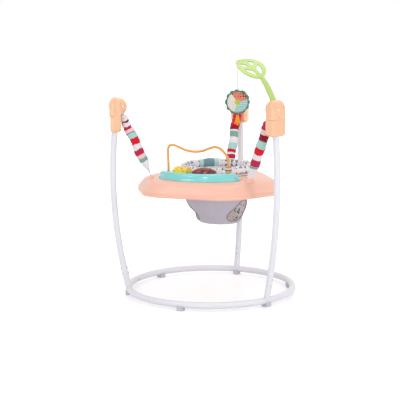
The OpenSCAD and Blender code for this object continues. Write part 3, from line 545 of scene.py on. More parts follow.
dome_azimuth, toy_radius = math.radians(282.5), 180 * MM
dome_half, dome_radius, dome_bow, dome_floor, dome_travel = 49 * MM, 24 * MM, 84.755 * MM, 528 * MM, 4 * MM
pocket_gap, pocket_rim, pocket_fade = 0.75 * MM, 3 * MM, 10 * MM


def clear_of_dome(along, out, high, gap):
    """Points moved out of the room that the dome sweeps: a bowed roll, from its rest down to the end of its travel.

    They leave by the nearer way, straight out from the roll's axis or past its flat end.
    """
    reach = dome_radius - dome_bow + np.sqrt(np.maximum(dome_bow**2 - along**2, 0)) + gap
    sink = np.clip(-high, 0, dome_travel)
    apart = np.maximum(np.hypot(out, high + sink), 1e-6)
    side, end = reach - apart, dome_half + gap - np.abs(along)
    grow = np.where((side > 0) & (end > side), reach / apart, 1)
    along = np.where((end > 0) & (side >= end), np.sign(along) * (dome_half + gap), along)
    return along, out * grow, (high + sink) * grow - sink


def console_shape(before, after):
    """Smoothed points, but the pocket that the dome slides in keeps its shape, and its wall stays off the dome."""
    out, along = out_and_across(before[:, 0], before[:, 1], dome_azimuth)
    away = np.maximum(np.abs(along) - dome_half, np.abs(out - toy_radius) - dome_radius)
    moved = before + (after - before) * ease((away - pocket_rim) / pocket_fade)[:, None]
    out, along = out_and_across(moved[:, 0], moved[:, 1], dome_azimuth)
    along, out, high = clear_of_dome(along, out - toy_radius, moved[:, 2] - dome_floor, pocket_gap)
    return at_azimuth(out + toy_radius, along, high + dome_floor, dome_azimuth)


for side, azimuth in leg_azimuths.items():
    for part in ("_cap_body", "_cap_cover"):
        rounded(side + part, "frame", cell=1.6 * MM, passes=3, shape=cap_shape(azimuth))
rounded("console", "tray", cell=1.5 * MM, passes=26, shape=console_shape)

# %% [markdown]
# Cloth is woven, so light catches its threads and its colour is never quite even. One function makes every plain
# cloth: it takes the colour from whatever nodes paint it, paints shade into the hollows between creases of plain
# cloth, and lets the weave lift the surface a little. A soft sheen at the edges is what tells the eye that it is
# fabric.

# %% Cloth finishes
def cloth(name, colour, threads=900.0, depth=0.35, crease=0.25, paint=None):
    """A Principled cloth: colour or paint(tree), with painted shade in the creases when plain, tinted by the group's
    Shade, bump from weave plus creases.
    """
    material, tree, shader = new_material(name, Roughness=0.85, Sheen_Weight=0.25, Sheen_Roughness=0.4,
                                          Specular_IOR_Level=0.2)
    threads_of = use_group(tree, weave, Threads=threads)
    # Plain cloth is painted 3% darker in the hollows of its creases: painted shade, not wear.
    crease_shade_colour = tuple(c * 0.97 for c in colour)
    painted = paint(tree) if paint else blend_colour(tree, threads_of["Crease"], crease_shade_colour, colour)
    shade = remap(tree, threads_of["Shade"], 0.9, 1.04)
    tinted = put(tree, "Mix", {0: 1.0, 6: painted, 7: shade}, data_type="RGBA", blend_type="MULTIPLY").outputs[2]
    height = sums(tree, "MULTIPLY_ADD", threads_of["Crease"], crease * 6, threads_of["Height"])
    bump = put(tree, "Bump", {"Strength": depth, "Distance": 0.5 * MM, "Height": height}).outputs[0]
    tree.links.new(tinted, shader.inputs["Base Color"])
    tree.links.new(bump, shader.inputs["Normal"])
    return material


red, crimson, wine = srgb(228, 28, 52), srgb(198, 42, 84), srgb(150, 22, 48)
pink, mint, sage = srgb(248, 212, 210), srgb(178, 222, 214), srgb(138, 176, 168)
pale, ash = srgb(242, 238, 244), srgb(150, 150, 156)
band_wave = 0.05


def striped(name, bands, length):
    """Dyed bands across a sleeve: a stepped colour ramp read along the cloth, its edges drawn wavy by noise."""
    def paint(tree):
        even = sums(tree, "MULTIPLY_ADD", uv_parts(tree)[0], 1 / length, -band_wave / 2)
        share = sums(tree, "MULTIPLY_ADD", noise(tree, 45.0), band_wave, even)
        ramp = put(tree, "ValToRGB", {0: share})
        ramp.color_ramp.interpolation = "CONSTANT"
        for position, colour in bands[1:-1]:
            ramp.color_ramp.elements.new(position).color = (*colour, 1)
        ends = ramp.color_ramp.elements
        ends[0].color = (*bands[0][1], 1)
        ends[len(ends) - 1].position = bands[-1][0]
        ends[len(ends) - 1].color = (*bands[-1][1], 1)
        return ramp.outputs[0]
    return cloth(name, pale, paint=paint)


webbing = cloth("strap_webbing", srgb(240, 240, 244), threads=700.0, depth=0.6, crease=0.05)
print("cloth finishes ready")

# %% [markdown]
# Each spring hangs from a steel pin in a cap, and the strap below it runs down to a slot in the tray. Working in
# that line's own frame makes the three springs, sleeves and straps alike: across the line in the leg's plane, along
# the tangent, and down the line from the pin.

# %% The strap lines
pin_place = np.array([369.51, 767.02]) * MM
slot_place = np.array([247.0, 498.0]) * MM
strap_run = np.linalg.norm(slot_place - pin_place)
strap_down = (slot_place - pin_place) / strap_run
bar_at = strap_run - 46 * MM


def strap_plane(local):
    """Radius and height of a place given as (across the line, along the tangent, down the line from the pin)."""
    return (pin_place[0] + local[..., 0] * strap_down[1] + local[..., 2] * strap_down[0],
            pin_place[1] - local[..., 0] * strap_down[0] + local[..., 2] * strap_down[1])


def on_strap(local, azimuth):
    """The same place on the object, on the strap line of the leg at that azimuth."""
    radius, height = strap_plane(local)
    return at_azimuth(radius, local[..., 1], height, azimuth)


print("strap run", round(strap_run / MM, 1), "mm")

# %% [markdown]
# The springs are steel wire: a hook over the pin, twelve turns, and a hook round the bar of the strap.
# A wire is a round profile carried along a path, and the path is a helix. The springs stretch when the seat
# bounces, so each one is blended from the frame to the tray instead of riding on one of them.

# %% Springs
spring_wire = 2.6 * MM
coil_radius = 10 * MM
coil_start, coil_end = 22 * MM, bar_at - 46 * MM
spring_turns = 12
hook_gap = 0.5 * MM
pin_radius, bar_radius = 3 * MM, 2.2 * MM


def hook(inner, at, first, last):
    """An arc of wire round a pin of that radius: (r sin t, 0, at + r cos t)."""
    t = np.radians(np.linspace(first, last, 18))
    r = inner + hook_gap + spring_wire / 2
    return np.stack([r * np.sin(t), 0 * t, at + r * np.cos(t)], -1)


def spring_path():
    """Hook, coil of radius coil_radius that narrows over its first and last turn, hook."""
    turns = np.linspace(0, spring_turns, spring_turns * 32)
    r = coil_radius * np.minimum(1, 0.5 + np.minimum(turns, spring_turns - turns) / 2)
    coil = helix(r, turns, coil_start, coil_end)
    return np.vstack([hook(pin_radius, 0, 310, 90), coil, hook(bar_radius, bar_at, 90, -130)])


for side, azimuth in leg_azimuths.items():
    lean = on_strap(np.array([0.2, 1, 0.35]), azimuth) - on_strap(np.zeros(3), azimuth)
    piece = tube(side + "_spring_wire", on_strap(spring_path(), azimuth), spring_wire / 2, lean, sides=10)
    ends = on_strap(np.array([[0, 0, coil_start], [0, 0, coil_end]]), azimuth)
    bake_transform(piece, "frame", "tray", start=ends[0], end=ends[1])
    place(piece, "frame", "bright_steel", side + "_spring")

# %% [markdown]
# A gathered sleeve hides each spring: a tube of striped cotton, longer than the spring, pushed up so that it
# crumples into slanted folds. Near the cap the folds are deep. Lower down the cloth is nearly smooth, and the
# end is sewn flat onto the strap. The radius is a function of the place along the sleeve and the turn round it.

# %% Sleeves
sleeve_start, sleeve_end = 13 * MM, bar_at + 26 * MM
sleeve_radius = 20 * MM
sleeve_length = sleeve_end - sleeve_start
sleeve_sewn_at = bar_at - 15 * MM
sleeve_cloth, sleeve_fullness = 0.8 * MM, 1.15
sleeve_folds, even_gather, deep_gather = 13, 0.06, 0.2
bands_of = {
    "left": [(0, pale), (0.087, wine), (0.117, pale), (0.187, crimson), (0.231, pink), (0.292, ash),
             (0.306, mint), (0.388, red), (0.494, pale), (0.581, crimson), (0.677, pink), (0.739, sage),
             (0.8, pale)],
    "right": [(0, crimson), (0.186, pink), (0.261, wine), (0.347, ash), (0.363, mint), (0.482, red),
              (0.596, pale), (0.694, crimson), (0.792, sage), (0.838, pale)],
    "rear": [(0, red), (0.186, crimson), (0.233, red), (0.335, wine), (0.41, pale), (0.441, sage),
             (0.534, pale), (0.643, mint), (0.755, red), (0.815, pale), (0.843, crimson), (0.918, pale)],
}


def sleeve_points(seed):
    """Radius = envelope * (1 - gather * fold + pucker): the folds are cosines along the sleeve, slanted by the turn."""
    s = np.linspace(0, 1, 300)[:, None]
    turn = np.linspace(0, TURN, 96, endpoint=False)[None, :]
    bulge = 1 + 0.05 * np.sin(TURN * 3.1 * s + 1.7 * seed) * (1 - ease((s - 0.7) / 0.2))
    neck = sleeve_radius * (0.62 + 0.38 * ease(s / 0.09)) * bulge
    width = neck * (1 + 0.12 * ease((s - 0.8) / 0.16))
    depth = neck * (1 - 0.82 * ease((s - 0.76) / 0.24))
    slant = 1.3 * np.sin(turn + 2.1 * seed + 7 * s) + 0.5 * np.sin(2 * turn - 5 * s + seed)
    phase = TURN * (sleeve_folds * s + 0.3 * np.sin(TURN * 2.3 * s + seed)) + slant
    gather = even_gather + deep_gather * (1 - ease(s / 0.5)) - 0.03 * ease((s - 0.8) / 0.2)
    fold = (0.5 - 0.5 * np.cos(phase)) ** 2
    pucker = 0.016 * np.sin(9 * turn + 3 * np.sin(phase / 2) + seed) * (1 - 0.6 * ease(s / 0.6))
    share = 1 - gather * fold + pucker
    sag = 2.4 * MM * np.sin(TURN * 2.2 * s + 2 * seed) * (1 - ease((s - 0.6) / 0.3)) * ease(s / 0.2)
    return np.stack([depth * share * np.cos(turn) + sag, width * share * np.sin(turn) + 0.7 * sag,
                     sleeve_start + sleeve_length * s + 0 * turn], -1)


def clear_of_cap(local, gap=1.2 * MM):
    """Cloth that would enter the cap lies against it: short of the pod's inner face, and outside the round head."""
    radius, height = strap_plane(local)
    radius = np.minimum(radius, pod_face - gap)
    away = np.stack([radius - head_place[0], local[..., 1], height - head_place[1]], -1)
    reach = np.linalg.norm(away, axis=-1, keepdims=True)
    away = away * np.maximum(1, (head_radius + gap) / reach)
    return away[..., 0] + head_place[0], away[..., 1], away[..., 2] + head_place[1]


for seed, (side, azimuth) in enumerate(leg_azimuths.items()):
    points = at_azimuth(*clear_of_cap(sleeve_points(1.0 + 1.7 * seed)), azimuth)
    piece = surface(side + "_gathered_sleeve", points, wrap_columns=True, size=(sleeve_length, TURN * sleeve_radius))
    thicken(piece, sleeve_cloth)
    ends = on_strap(np.array([[0, 0, sleeve_start], [0, 0, sleeve_sewn_at]]), azimuth)
    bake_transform(piece, "frame", "tray", start=ends[0], end=ends[1])
    place(piece, "frame", "sleeve_fabric", side + "_sleeve",
          material=striped(side + "_sleeve_stripes", bands_of[side], sleeve_length))

# %% [markdown]
# The straps are flat polypropylene webbing, doubled back round a steel bar and sewn. Webbing is a rounded strip
# carried along its own path, so the eye round the bar and the straight run are one strip.

# %% Straps
strap_half_width, strap_half_thick = 11 * MM, 0.6 * MM
strap_tail = 24 * MM
eye_radius = 3.1 * MM


def strip(name, path, half_width, half_thick, across, columns=28):
    """A rounded rectangle carried along a path: width along across, thickness along the path's own normal."""
    path = np.asarray(path, float)
    along = unit(np.gradient(path, axis=0))
    across = unit(np.broadcast_to(np.asarray(across, float), path.shape))
    out = np.cross(along, across)
    t = np.linspace(0, TURN, columns, endpoint=False)
    wide = np.sign(np.cos(t)) * np.abs(np.cos(t)) ** 0.35 * half_width
    thick = np.sign(np.sin(t)) * np.abs(np.sin(t)) ** 0.6 * half_thick
    body = path[:, None] + wide[:, None] * across[:, None] + thick[:, None] * out[:, None]
    body = np.concatenate([np.repeat(path[:1, None], columns, 1), body, np.repeat(path[-1:, None], columns, 1)])
    length = np.linalg.norm(np.diff(path, axis=0), axis=1).sum()
    return surface(name, body, wrap_columns=True, size=(length, 2 * half_width))


def strap_path():
    """From the sewn end up one side, round the bar, and straight down the line into the tray, in (across, down)."""
    t = np.radians(np.linspace(-60, 240, 24))
    eye = np.stack([eye_radius * np.cos(t), bar_at - eye_radius * np.sin(t)], -1)
    sewn = np.array([[1.0 * MM, bar_at + 30 * MM], [1.0 * MM, bar_at + 16 * MM], [1.1 * MM, bar_at + 8 * MM]])
    run = np.array([[-0.6 * MM, bar_at + 8 * MM], [-0.3 * MM, bar_at + 20 * MM], [0, strap_run],
                    [0, strap_run + strap_tail]])
    flat = smooth(np.vstack([sewn, eye, run]), 5)
    return np.stack([flat[:, 0], 0 * flat[:, 0], flat[:, 1]], -1)


for side, azimuth in leg_azimuths.items():
    tangent = on_strap(np.array([0, 1.0, 0]), azimuth) - on_strap(np.zeros(3), azimuth)
    piece = strip(side + "_webbing", on_strap(strap_path(), azimuth), strap_half_width, strap_half_thick, tangent)
    place(piece, "tray", "strap_fabric", side + "_strap", material=webbing)

# %% [markdown]
# The tray is one moulded shell: six round corners, two beside each leg, that draw together as the wall rises into
# a nearly round deck with the seat hole in it. The outline at a height is the hull round six circles. A hull is
# easiest through its support: in each direction the circle that reaches furthest gives the outline's point.

# %% Tray shell
tray_corner_at, tray_corner_radius = 169 * MM, 141 * MM
tray_rim_z, tray_top_z = 434 * MM, 498 * MM
corner_half_turn = math.radians(21.5)
seat_centre = np.array([0, 80]) * MM
seat_hole_radius = 146 * MM
wall_shares = [[1, 0.982, 0.22], [1, 0.981, 0.28], [0.947, 0.993, 0.44], [0.77, 1.07, 0.78], [0.533, 1.19, 0.906],
               [0.12, 1.518, 1]]
rim_steps = [(136, 0), (140, 0), (141, 1), (141, 12), (140.2, 12.9), (138.9, 13.2)]
lip_width, tray_wall = 2 * MM, 2.5 * MM
tray_turn = np.linspace(0, TURN, 720, endpoint=False)


def hull_outline(at, radius):
    """Outline of the hull round six circles: the furthest circle in each direction, spread evenly by polar angle."""
    corner = np.array([a + s * corner_half_turn for a in leg_azimuths.values() for s in (-1, 1)])
    centre = at * np.stack([np.cos(corner), np.sin(corner)], -1)
    look = np.linspace(0, TURN, 5760, endpoint=False)
    ahead = np.stack([np.cos(look), np.sin(look)], -1)
    edge = centre[np.argmax(ahead @ centre.T, axis=1)] + radius * ahead
    polar = np.arctan2(edge[:, 1], edge[:, 0]) % TURN
    order = np.argsort(polar)
    return np.stack([np.interp(tray_turn, polar[order], edge[order, k], period=TURN) for k in (0, 1)], -1)


def level(outline, height):
    """An outline at one height, as one row of the shell."""
    return np.column_stack([outline, np.full(len(outline), height)])


def tray_points():
    """Rows from under the rim, up the wall, over the deck and down the seat hole."""
    rows = [level(hull_outline(tray_corner_at, r * MM), tray_rim_z + z * MM) for r, z in rim_steps]
    for at, radius, high in smooth(wall_shares, 7):
        outline = hull_outline(at * tray_corner_at, radius * tray_corner_radius)
        rows.append(level(outline, tray_rim_z + high * (tray_top_z - tray_rim_z)))
    around = np.stack([np.cos(tray_turn), np.sin(tray_turn)], -1)
    lip = seat_centre + (seat_hole_radius + lip_width) * around
    rows += [level((1 - share) * outline + share * lip, tray_top_z) for share in (0.1, 0.35, 0.7, 0.95, 1.0)]
    rows += [level(seat_centre + (seat_hole_radius + wider * MM) * around, tray_top_z - drop * MM)
             for wider, drop in ((0.6, 0.5), (0, 2), (0, 20), (0, 60))]
    return np.stack(rows)


tray_shell = surface("tray_shell", tray_points(), wrap_columns=True, size=(0.25, 1.6))
thicken(tray_shell, tray_wall)
place(tray_shell, "tray", "tray_plastic", "tray_top")


# %% Strap horns on the tray
def rounded_block(half_sizes, corner=0.55, rings=28, columns=56):
    """Superellipsoid: each half size times signed powers of the cosines and sines of two angles."""
    power = lambda x: np.sign(x) * np.abs(x) ** corner
    high = np.linspace(-math.pi / 2, math.pi / 2, rings)[:, None]
    round_it = np.linspace(0, TURN, columns, endpoint=False)[None, :]
    return np.stack([half_sizes[0] * power(np.cos(high)) * power(np.cos(round_it)),
                     half_sizes[1] * power(np.cos(high)) * power(np.sin(round_it)),
                     half_sizes[2] * power(np.sin(high)) + 0 * round_it], -1)


horn_sizes, horn_z = (9 * MM, 22 * MM, 15 * MM), 491 * MM
block = rounded_block(horn_sizes)
horns = []
for side, azimuth in leg_azimuths.items():
    points = at_azimuth(slot_place[0] + block[..., 0], block[..., 1], horn_z + block[..., 2], azimuth)
    horns.append(surface(side + "_horn", points, wrap_columns=True, size=(0.05, 0.1)))
strap_horns = joined("strap_horns", horns)
place(strap_horns, "tray", "tray_plastic")

# %% [markdown]
# The toy bar over the console is a plastic-coated wire bent in a soft wave. It is one tube along a smooth curve
# through a few points, given as shares of its half width and height.

# %% Bead wire
wire_foot = np.array([129.89, -142.75]) * MM
wire_base_z, wire_height, wire_radius = 529 * MM, 107 * MM, 5 * MM
wire_shares = [[-1, -0.08], [-1, 0.1], [-1, 0.3], [-1.01, 0.62], [-1.005, 0.84], [-0.97, 0.945], [-0.89, 0.995],
               [-0.78, 0.985], [-0.62, 0.91], [-0.4, 0.81], [-0.12, 0.765], [0.14, 0.8], [0.36, 0.9], [0.54, 0.965],
               [0.7, 0.93], [0.84, 0.8], [0.95, 0.64], [1, 0.53], [1, 0.3], [1, 0.1], [1, -0.08]]
wave = smooth(wire_shares, 10)
wire_path = np.stack([wave[:, 0] * wire_foot[0], np.full(len(wave), wire_foot[1]),
                      wire_base_z + wave[:, 1] * wire_height], -1)
bead_wire = tube("bead_wire_tube", wire_path, wire_radius, (0, 1, 0), sides=24)
place(bead_wire, "tray", "wire_coating", "bead_wire")

# %% [markdown]
# A leaf on a bent stem grows out of the right cap and carries the hanging toy. The blade is a flat outline of two
# arcs, pierced between its ribs and bowed along its length. A field that is positive on the plate and negative in
# the gaps picks the cells of a fine grid, and the cells' edges then slide onto the line where the field is zero.

# %% Leaf blade
leaf_length, leaf_width, leaf_thick = 158 * MM, 100 * MM, 5 * MM
leaf_bow_radius = 210 * MM
leaf_rim, leaf_rib = 17 * MM, 15 * MM
leaf_taper, rib_lean, rib_shares, gap_shares = 0.78, math.radians(50), (0.36, 0.68), (0.1, 0.86)
leaf_rise, leaf_roll = math.radians(204), math.radians(-18)
leaf_base = np.array([317.32, 0, 913.75]) * MM
leaf_arc = (leaf_length**2 + leaf_width**2) / (4 * leaf_width)
grid_rows, grid_columns, grid_margin, grid_half = 190, 124, 0.002, 0.052
slide_within = 0.003


def leaf_field(x, y):
    """Distance inside the plate: the two arcs' lens, drawn to its base, less each gap between rim, midrib and ribs."""
    x = leaf_length * np.clip(x / leaf_length, 1e-4, None) ** leaf_taper
    lens = np.minimum(*(leaf_arc - np.hypot(x - leaf_length / 2, y + s * (leaf_arc - leaf_width / 2)) for s in (-1, 1)))
    inside = lens - leaf_rim
    beside = np.abs(y) - leaf_rib / 2
    offset = [(x - share * leaf_length) * math.sin(rib_lean) - np.abs(y) * math.cos(rib_lean) for share in rib_shares]
    gaps = [soft_least(inside, beside, -offset[0], x - gap_shares[0] * leaf_length),
            soft_least(inside, beside, offset[0] - leaf_rib, -offset[1]),
            soft_least(inside, beside, offset[1] - leaf_rib, gap_shares[1] * leaf_length - x)]
    return np.minimum(lens, -np.maximum.reduce(gaps))


def leaf_points():
    """A grid of the plate, its boundary points slid onto the zero line, bowed along x and stood in the leg's plane."""
    x, y = np.meshgrid(np.linspace(-grid_margin, leaf_length + grid_margin, grid_rows),
                       np.linspace(-grid_half, grid_half, grid_columns), indexing="ij")
    keep = corners_of(leaf_field(x, y)).max(axis=1) > 0
    step = 1e-5
    for _ in range(3):
        value = leaf_field(x, y)
        slope = np.stack([leaf_field(x + step, y) - value, leaf_field(x, y + step) - value]) / step
        move = np.where((value < 0) & (value > -slide_within), value, 0) / np.maximum((slope**2).sum(0), 0.2)
        x, y = x - move * slope[0], y - move * slope[1]
    drop = math.sqrt(leaf_bow_radius**2 - leaf_length**2 / 4)
    z = drop - np.sqrt(leaf_bow_radius**2 - (x - leaf_length / 2) ** 2) + leaf_thick / 2
    y, z = rotate(y, z, leaf_roll)
    x, z = rotate(x, z, -leaf_rise)
    return at_azimuth(leaf_base[0] + x, y, leaf_base[2] + z, leg_azimuths["right"]), keep


points, keep = leaf_points()
leaf_blade = surface("leaf_blade", points, size=(leaf_length, leaf_width), keep=keep)
thicken(leaf_blade, leaf_thick, offset=0.0)
rounding = leaf_blade.modifiers.new("rounding", "BEVEL")
rounding.width, rounding.segments, rounding.limit_method = 1.3 * MM, 3, "ANGLE"
place(leaf_blade, "leaf", "leaf_plastic", "leaf_arm")

# %% Leaf stem
peg_place = np.array([381.37, 828.95]) * MM
peg_lean = math.radians(-32)
stem_axis = np.array([math.sin(peg_lean), math.cos(peg_lean)])
stem_sit = 5.75 * MM
stem_shares = np.array([[0, 0], [-0.27, 0.32], [-0.6, 0.67], [-1, 1]])
stem_reach = np.array([61, 80]) * MM
boss_cover = np.array([[-13], [-5]]) * MM
boss_radii = [13.2, 12.6]
stem_foot = peg_place + stem_sit * stem_axis
stem = smooth(stem_foot + stem_shares * stem_reach, 10)
stem_radius = np.hstack([boss_radii, np.linspace(12, 9, len(stem))]) * MM
stem = np.vstack([stem_foot + boss_cover * stem_axis, stem])
stem_path = at_azimuth(stem[:, 0], np.zeros(len(stem)), stem[:, 1], leg_azimuths["right"])
leaf_tangent = at_azimuth(0, 1, 0, leg_azimuths["right"])
leaf_stem = tube("leaf_stem", stem_path, stem_radius, leaf_tangent, sides=28)
place(leaf_stem, "leaf", "leaf_plastic")

# %% [markdown]
# The seat is a sling of grey cloth with a printed lining, hung inside a plastic ring. It narrows towards its seat
# and leans back, so each height has its own oval. Two round leg holes are cut in its sides: cells inside
# the hole are dropped, and the edge points slide outwards onto the circle. Solidify then adds the lining.

# %% Seat bucket
bucket_radius, bucket_bottom_z, bucket_top_z = 131.6 * MM, 277 * MM, 504.4 * MM
bucket_shares = [[0.02, 0.02, 0.3, 0.002], [0.42, 0.34, 0.3, 0.003], [0.62, 0.54, 0.3, 0.012],
                 [0.69, 0.63, 0.29, 0.04], [0.77, 0.72, 0.24, 0.13], [0.86, 0.82, 0.17, 0.25],
                 [0.94, 0.91, 0.09, 0.35], [0.985, 0.97, 0.03, 0.45], [1, 1, 0, 0.56], [1, 1, 0, 0.78], [1, 1, 0, 1]]
bucket_run, bucket_cloth = 0.27, 3 * MM
leg_hole_radius, leg_hole_z, hole_band = 48 * MM, 342.3 * MM, 0.9
leg_hole_azimuths = [math.radians(270 + s * 81.5) for s in (-1, 1)]


def bucket_points():
    """Ovals lofted through the shares: x = half-width cos t, y = set-back + half-depth sin t, plus soft drag folds."""
    wide, deep, back, high = (a[:, None] for a in smooth(bucket_shares, 16).T)
    t = np.linspace(0, TURN, 360, endpoint=False)[None, :]
    slack = 1 - 0.008 * np.sin(5 * t + 4 * high) * np.sin(math.pi * high) - 0.004 * np.sin(11 * t - 9 * high)
    x = bucket_radius * wide * slack * np.cos(t)
    y = seat_centre[1] + bucket_radius * (back + deep * slack * np.sin(t))
    return np.stack([x, y, bucket_bottom_z + high * (bucket_top_z - bucket_bottom_z) + 0 * t], -1)


def cut_hole(points, azimuth):
    """The points, with those just inside the hole moved to its edge, and their distance from its axis in radii."""
    outward, tangent = out_and_across(points[..., 0], points[..., 1] - seat_centre[1], azimuth)
    up = points[..., 2] - leg_hole_z
    share = np.where(outward > bucket_radius / 4, np.hypot(tangent, up) / leg_hole_radius, np.inf)
    near = (share < 1) & (share > hole_band)
    shift = np.where(near, 1 / np.maximum(share, 0.5) - 1, 0)
    return points + shift[..., None] * at_azimuth(0 * tangent, tangent, up, azimuth), share


points = bucket_points()
open_cells = []
for azimuth in leg_hole_azimuths:
    points, share = cut_hole(points, azimuth)
    ring = np.hstack([share, share[:, :1]])
    open_cells.append(corners_of(ring).max(axis=1) < 1)
bucket = surface("seat_sling", points, wrap_columns=True, size=(bucket_run, TURN * bucket_radius),
                 keep=~np.logical_or.reduce(open_cells))
print("seat sling", len(bucket.data.polygons), "faces; cells cut", int(np.logical_or.reduce(open_cells).sum()))

# %% [markdown]
# The lining and the collar are printed with small dark marks and pale spots. The print here is a plain geometric
# one: every square of cloth gets a triangle, a chevron or a few dots, turned and kept or left out at random.
# It reads the cloth's own UV map in metres, so the marks keep their size and follow the surface.

# %% Group: scattered printed marks
marks, marks_in, marks_out = new_group("scattered_marks", {"Cell": 0.024, "Line": 0.07}, ["Mark", "Spot"])


def cell_of(size):
    """Place within a cell, from -0.5 to 0.5, and three random numbers of that cell."""
    scaled = put(marks, "VectorMath", {0: put(marks, "UVMap").outputs["UV"], "Scale": sums(marks, "DIVIDE", 1.0, size)},
                 operation="SCALE").outputs[0]
    whole = put(marks, "VectorMath", {0: scaled}, operation="FLOOR").outputs[0]
    part = put(marks, "VectorMath", {0: scaled}, operation="FRACTION").outputs[0]
    middle = put(marks, "VectorMath", {0: part, 1: (0.5, 0.5, 0)}, operation="SUBTRACT").outputs[0]
    chance = put(marks, "SeparateXYZ", {0: put(marks, "TexWhiteNoise", {"Vector": whole}).outputs["Color"]})
    return middle, chance.outputs


def near(value, edge):
    """1 where value is within edge of zero, else 0."""
    return below(marks, sums(marks, "ABSOLUTE", value), edge)


def both(first, second):
    """The product of two values, which for masks is where both hold."""
    return sums(marks, "MULTIPLY", first, second)


few, most, kept = 0.33, 0.68, 0.85
triangle_reach, chevron_slope, chevron_half, dot_at, dot_half = 0.16, 0.8, 0.28, 0.16, 0.07
spot_cells, spot_reach, spot_chance = 2.6, 0.26, 0.45
line = marks_in.outputs["Line"]
middle, chance = cell_of(marks_in.outputs["Cell"])
turned = put(marks, "VectorRotate", {"Vector": middle, "Angle": both(chance[0], TURN)},
             rotation_type="Z_AXIS").outputs[0]
spot = put(marks, "SeparateXYZ", {0: turned})
across, upward = sums(marks, "ABSOLUTE", spot.outputs[0]), spot.outputs[1]
slope = sums(marks, "MULTIPLY_ADD", across, 0.87, both(upward, 0.5))
triangle = near(sums(marks, "SUBTRACT", sums(marks, "MAXIMUM", slope, both(upward, -1.0)), triangle_reach), line)
chevron = both(near(sums(marks, "MULTIPLY_ADD", across, chevron_slope, upward), line),
               below(marks, across, chevron_half))
dots = both(near(sums(marks, "SUBTRACT", across, dot_at), dot_half), near(upward, dot_half))
first = both(triangle, below(marks, chance[1], few))
second = both(chevron, sums(marks, "SUBTRACT", below(marks, chance[1], most), below(marks, chance[1], few)))
third = both(dots, below(marks, most, chance[1]))
mark = both(below(marks, chance[2], kept), sums(marks, "ADD", first, sums(marks, "ADD", second, third)))
marks.links.new(mark, marks_out.inputs["Mark"])
middle, chance = cell_of(both(marks_in.outputs["Cell"], spot_cells))
reach = put(marks, "VectorMath", {0: middle}, operation="LENGTH").outputs["Value"]
marks.links.new(both(below(marks, reach, spot_reach), below(marks, chance[0], spot_chance)), marks_out.inputs["Spot"])
print("group", marks.name, len(marks.nodes), "nodes")


# %% Printed cloth
def printed(name, ground, mark, spot_colour, cell=0.024, patch=None):
    """Ground colour, pale spots, then dark marks. patch(tree, colour) may sew a plain patch over it."""
    def paint(tree):
        scattered = use_group(tree, marks, Cell=cell)
        colour = blend_colour(tree, scattered["Spot"], ground, spot_colour)
        colour = blend_colour(tree, scattered["Mark"], colour, mark)
        return patch(tree, colour) if patch else colour
    return cloth(name, ground, paint=paint, crease=0.35)


seat_grey = cloth("seat_grey_cloth", srgb(205, 200, 211), threads=800.0, depth=0.3, crease=0.3)
lining = printed("seat_lining", srgb(246, 240, 240), srgb(34, 30, 36), srgb(246, 214, 188), cell=0.034)
place(bucket, "seat", "seat_fabric", "seat_bucket", material=seat_grey)
bucket.data.materials.append(lining)
thicken(bucket, bucket_cloth, inside=1)


# %% Binding round the leg holes
def hole_edge(azimuth):
    """Where the hole's cylinder leaves the sling: along each straight line of the cylinder, solve for the oval."""
    turn = np.linspace(0, TURN, 121)
    tangent, high = leg_hole_radius * np.cos(turn), leg_hole_z + leg_hole_radius * np.sin(turn)
    level = smooth(bucket_shares, 16)
    share = (high - bucket_bottom_z) / (bucket_top_z - bucket_bottom_z)
    wide, deep, back = (bucket_radius * np.interp(share, level[:, 3], level[:, k]) for k in range(3))
    cos, sin = math.cos(azimuth), math.sin(azimuth)
    a = (cos / wide) ** 2 + (sin / deep) ** 2
    b = (-tangent * sin) * cos / wide**2 + (tangent * cos - back) * sin / deep**2
    c = (tangent * sin / wide) ** 2 + ((tangent * cos - back) / deep) ** 2 - 1
    out = (-b + np.sqrt(b * b - a * c)) / a
    return np.stack([out * cos - tangent * sin, seat_centre[1] + out * sin + tangent * cos, high], -1)


binding_cloth = cloth("binding_cloth", srgb(158, 150, 160), threads=700.0, depth=0.5)
binding_radius = 2.6 * MM
bindings = []
for side, azimuth in zip(("left", "right"), leg_hole_azimuths):
    outward = at_azimuth(1, 0, 0, azimuth)
    bindings.append(tube(side + "_hole_binding", hole_edge(azimuth), binding_radius, outward, sides=12))
leg_bindings = joined("leg_hole_bindings", bindings)
place(leg_bindings, "seat", "seat_fabric", material=binding_cloth)

# %% [markdown]
# Stuffed cloth is tight where its filling presses and pulled in where it is sewn. Blender's cloth solver finds the
# first part: the shape is remeshed into even cells, blown up a little by an inner pressure with no gravity, and each
# point's way is capped. What is sewn, such as a groove or a gather, is pressed in afterwards.

# %% Stuffing by cloth simulation
def stuffed(piece, cell, limit, pressure=4.0, frames=20):
    """Remeshes a closed shape, lets Cloth swell it, caps each point's way at limit, and subdivides the result once."""
    even_cells(piece, cell)
    start = points_of(piece)
    swelling = piece.modifiers.new("stuffing", "CLOTH")
    swelling.settings.use_pressure = True
    swelling.settings.uniform_pressure_force = pressure
    swelling.settings.effector_weights.gravity = 0
    swelling.point_cache.frame_end = frames
    for frame_number in range(1, frames + 1):
        bpy.context.scene.frame_set(frame_number)
    solved = piece.evaluated_get(bpy.context.evaluated_depsgraph_get())
    way = points_of(solved) - start
    length = np.linalg.norm(way, axis=1, keepdims=True)
    piece.modifiers.remove(swelling)
    bpy.context.scene.frame_set(1)
    move_points(piece, start + way * np.minimum(1, limit / np.maximum(length, 1e-9)))
    print(piece.name, "swelled by", round(float(length.mean()) / MM, 1), "mm, capped at", round(limit / MM, 1))
    finer = piece.modifiers.new("finer", "SUBSURF")
    finer.levels = finer.render_levels = 1
    apply_all(piece)
    piece.data.shade_smooth()
    return piece


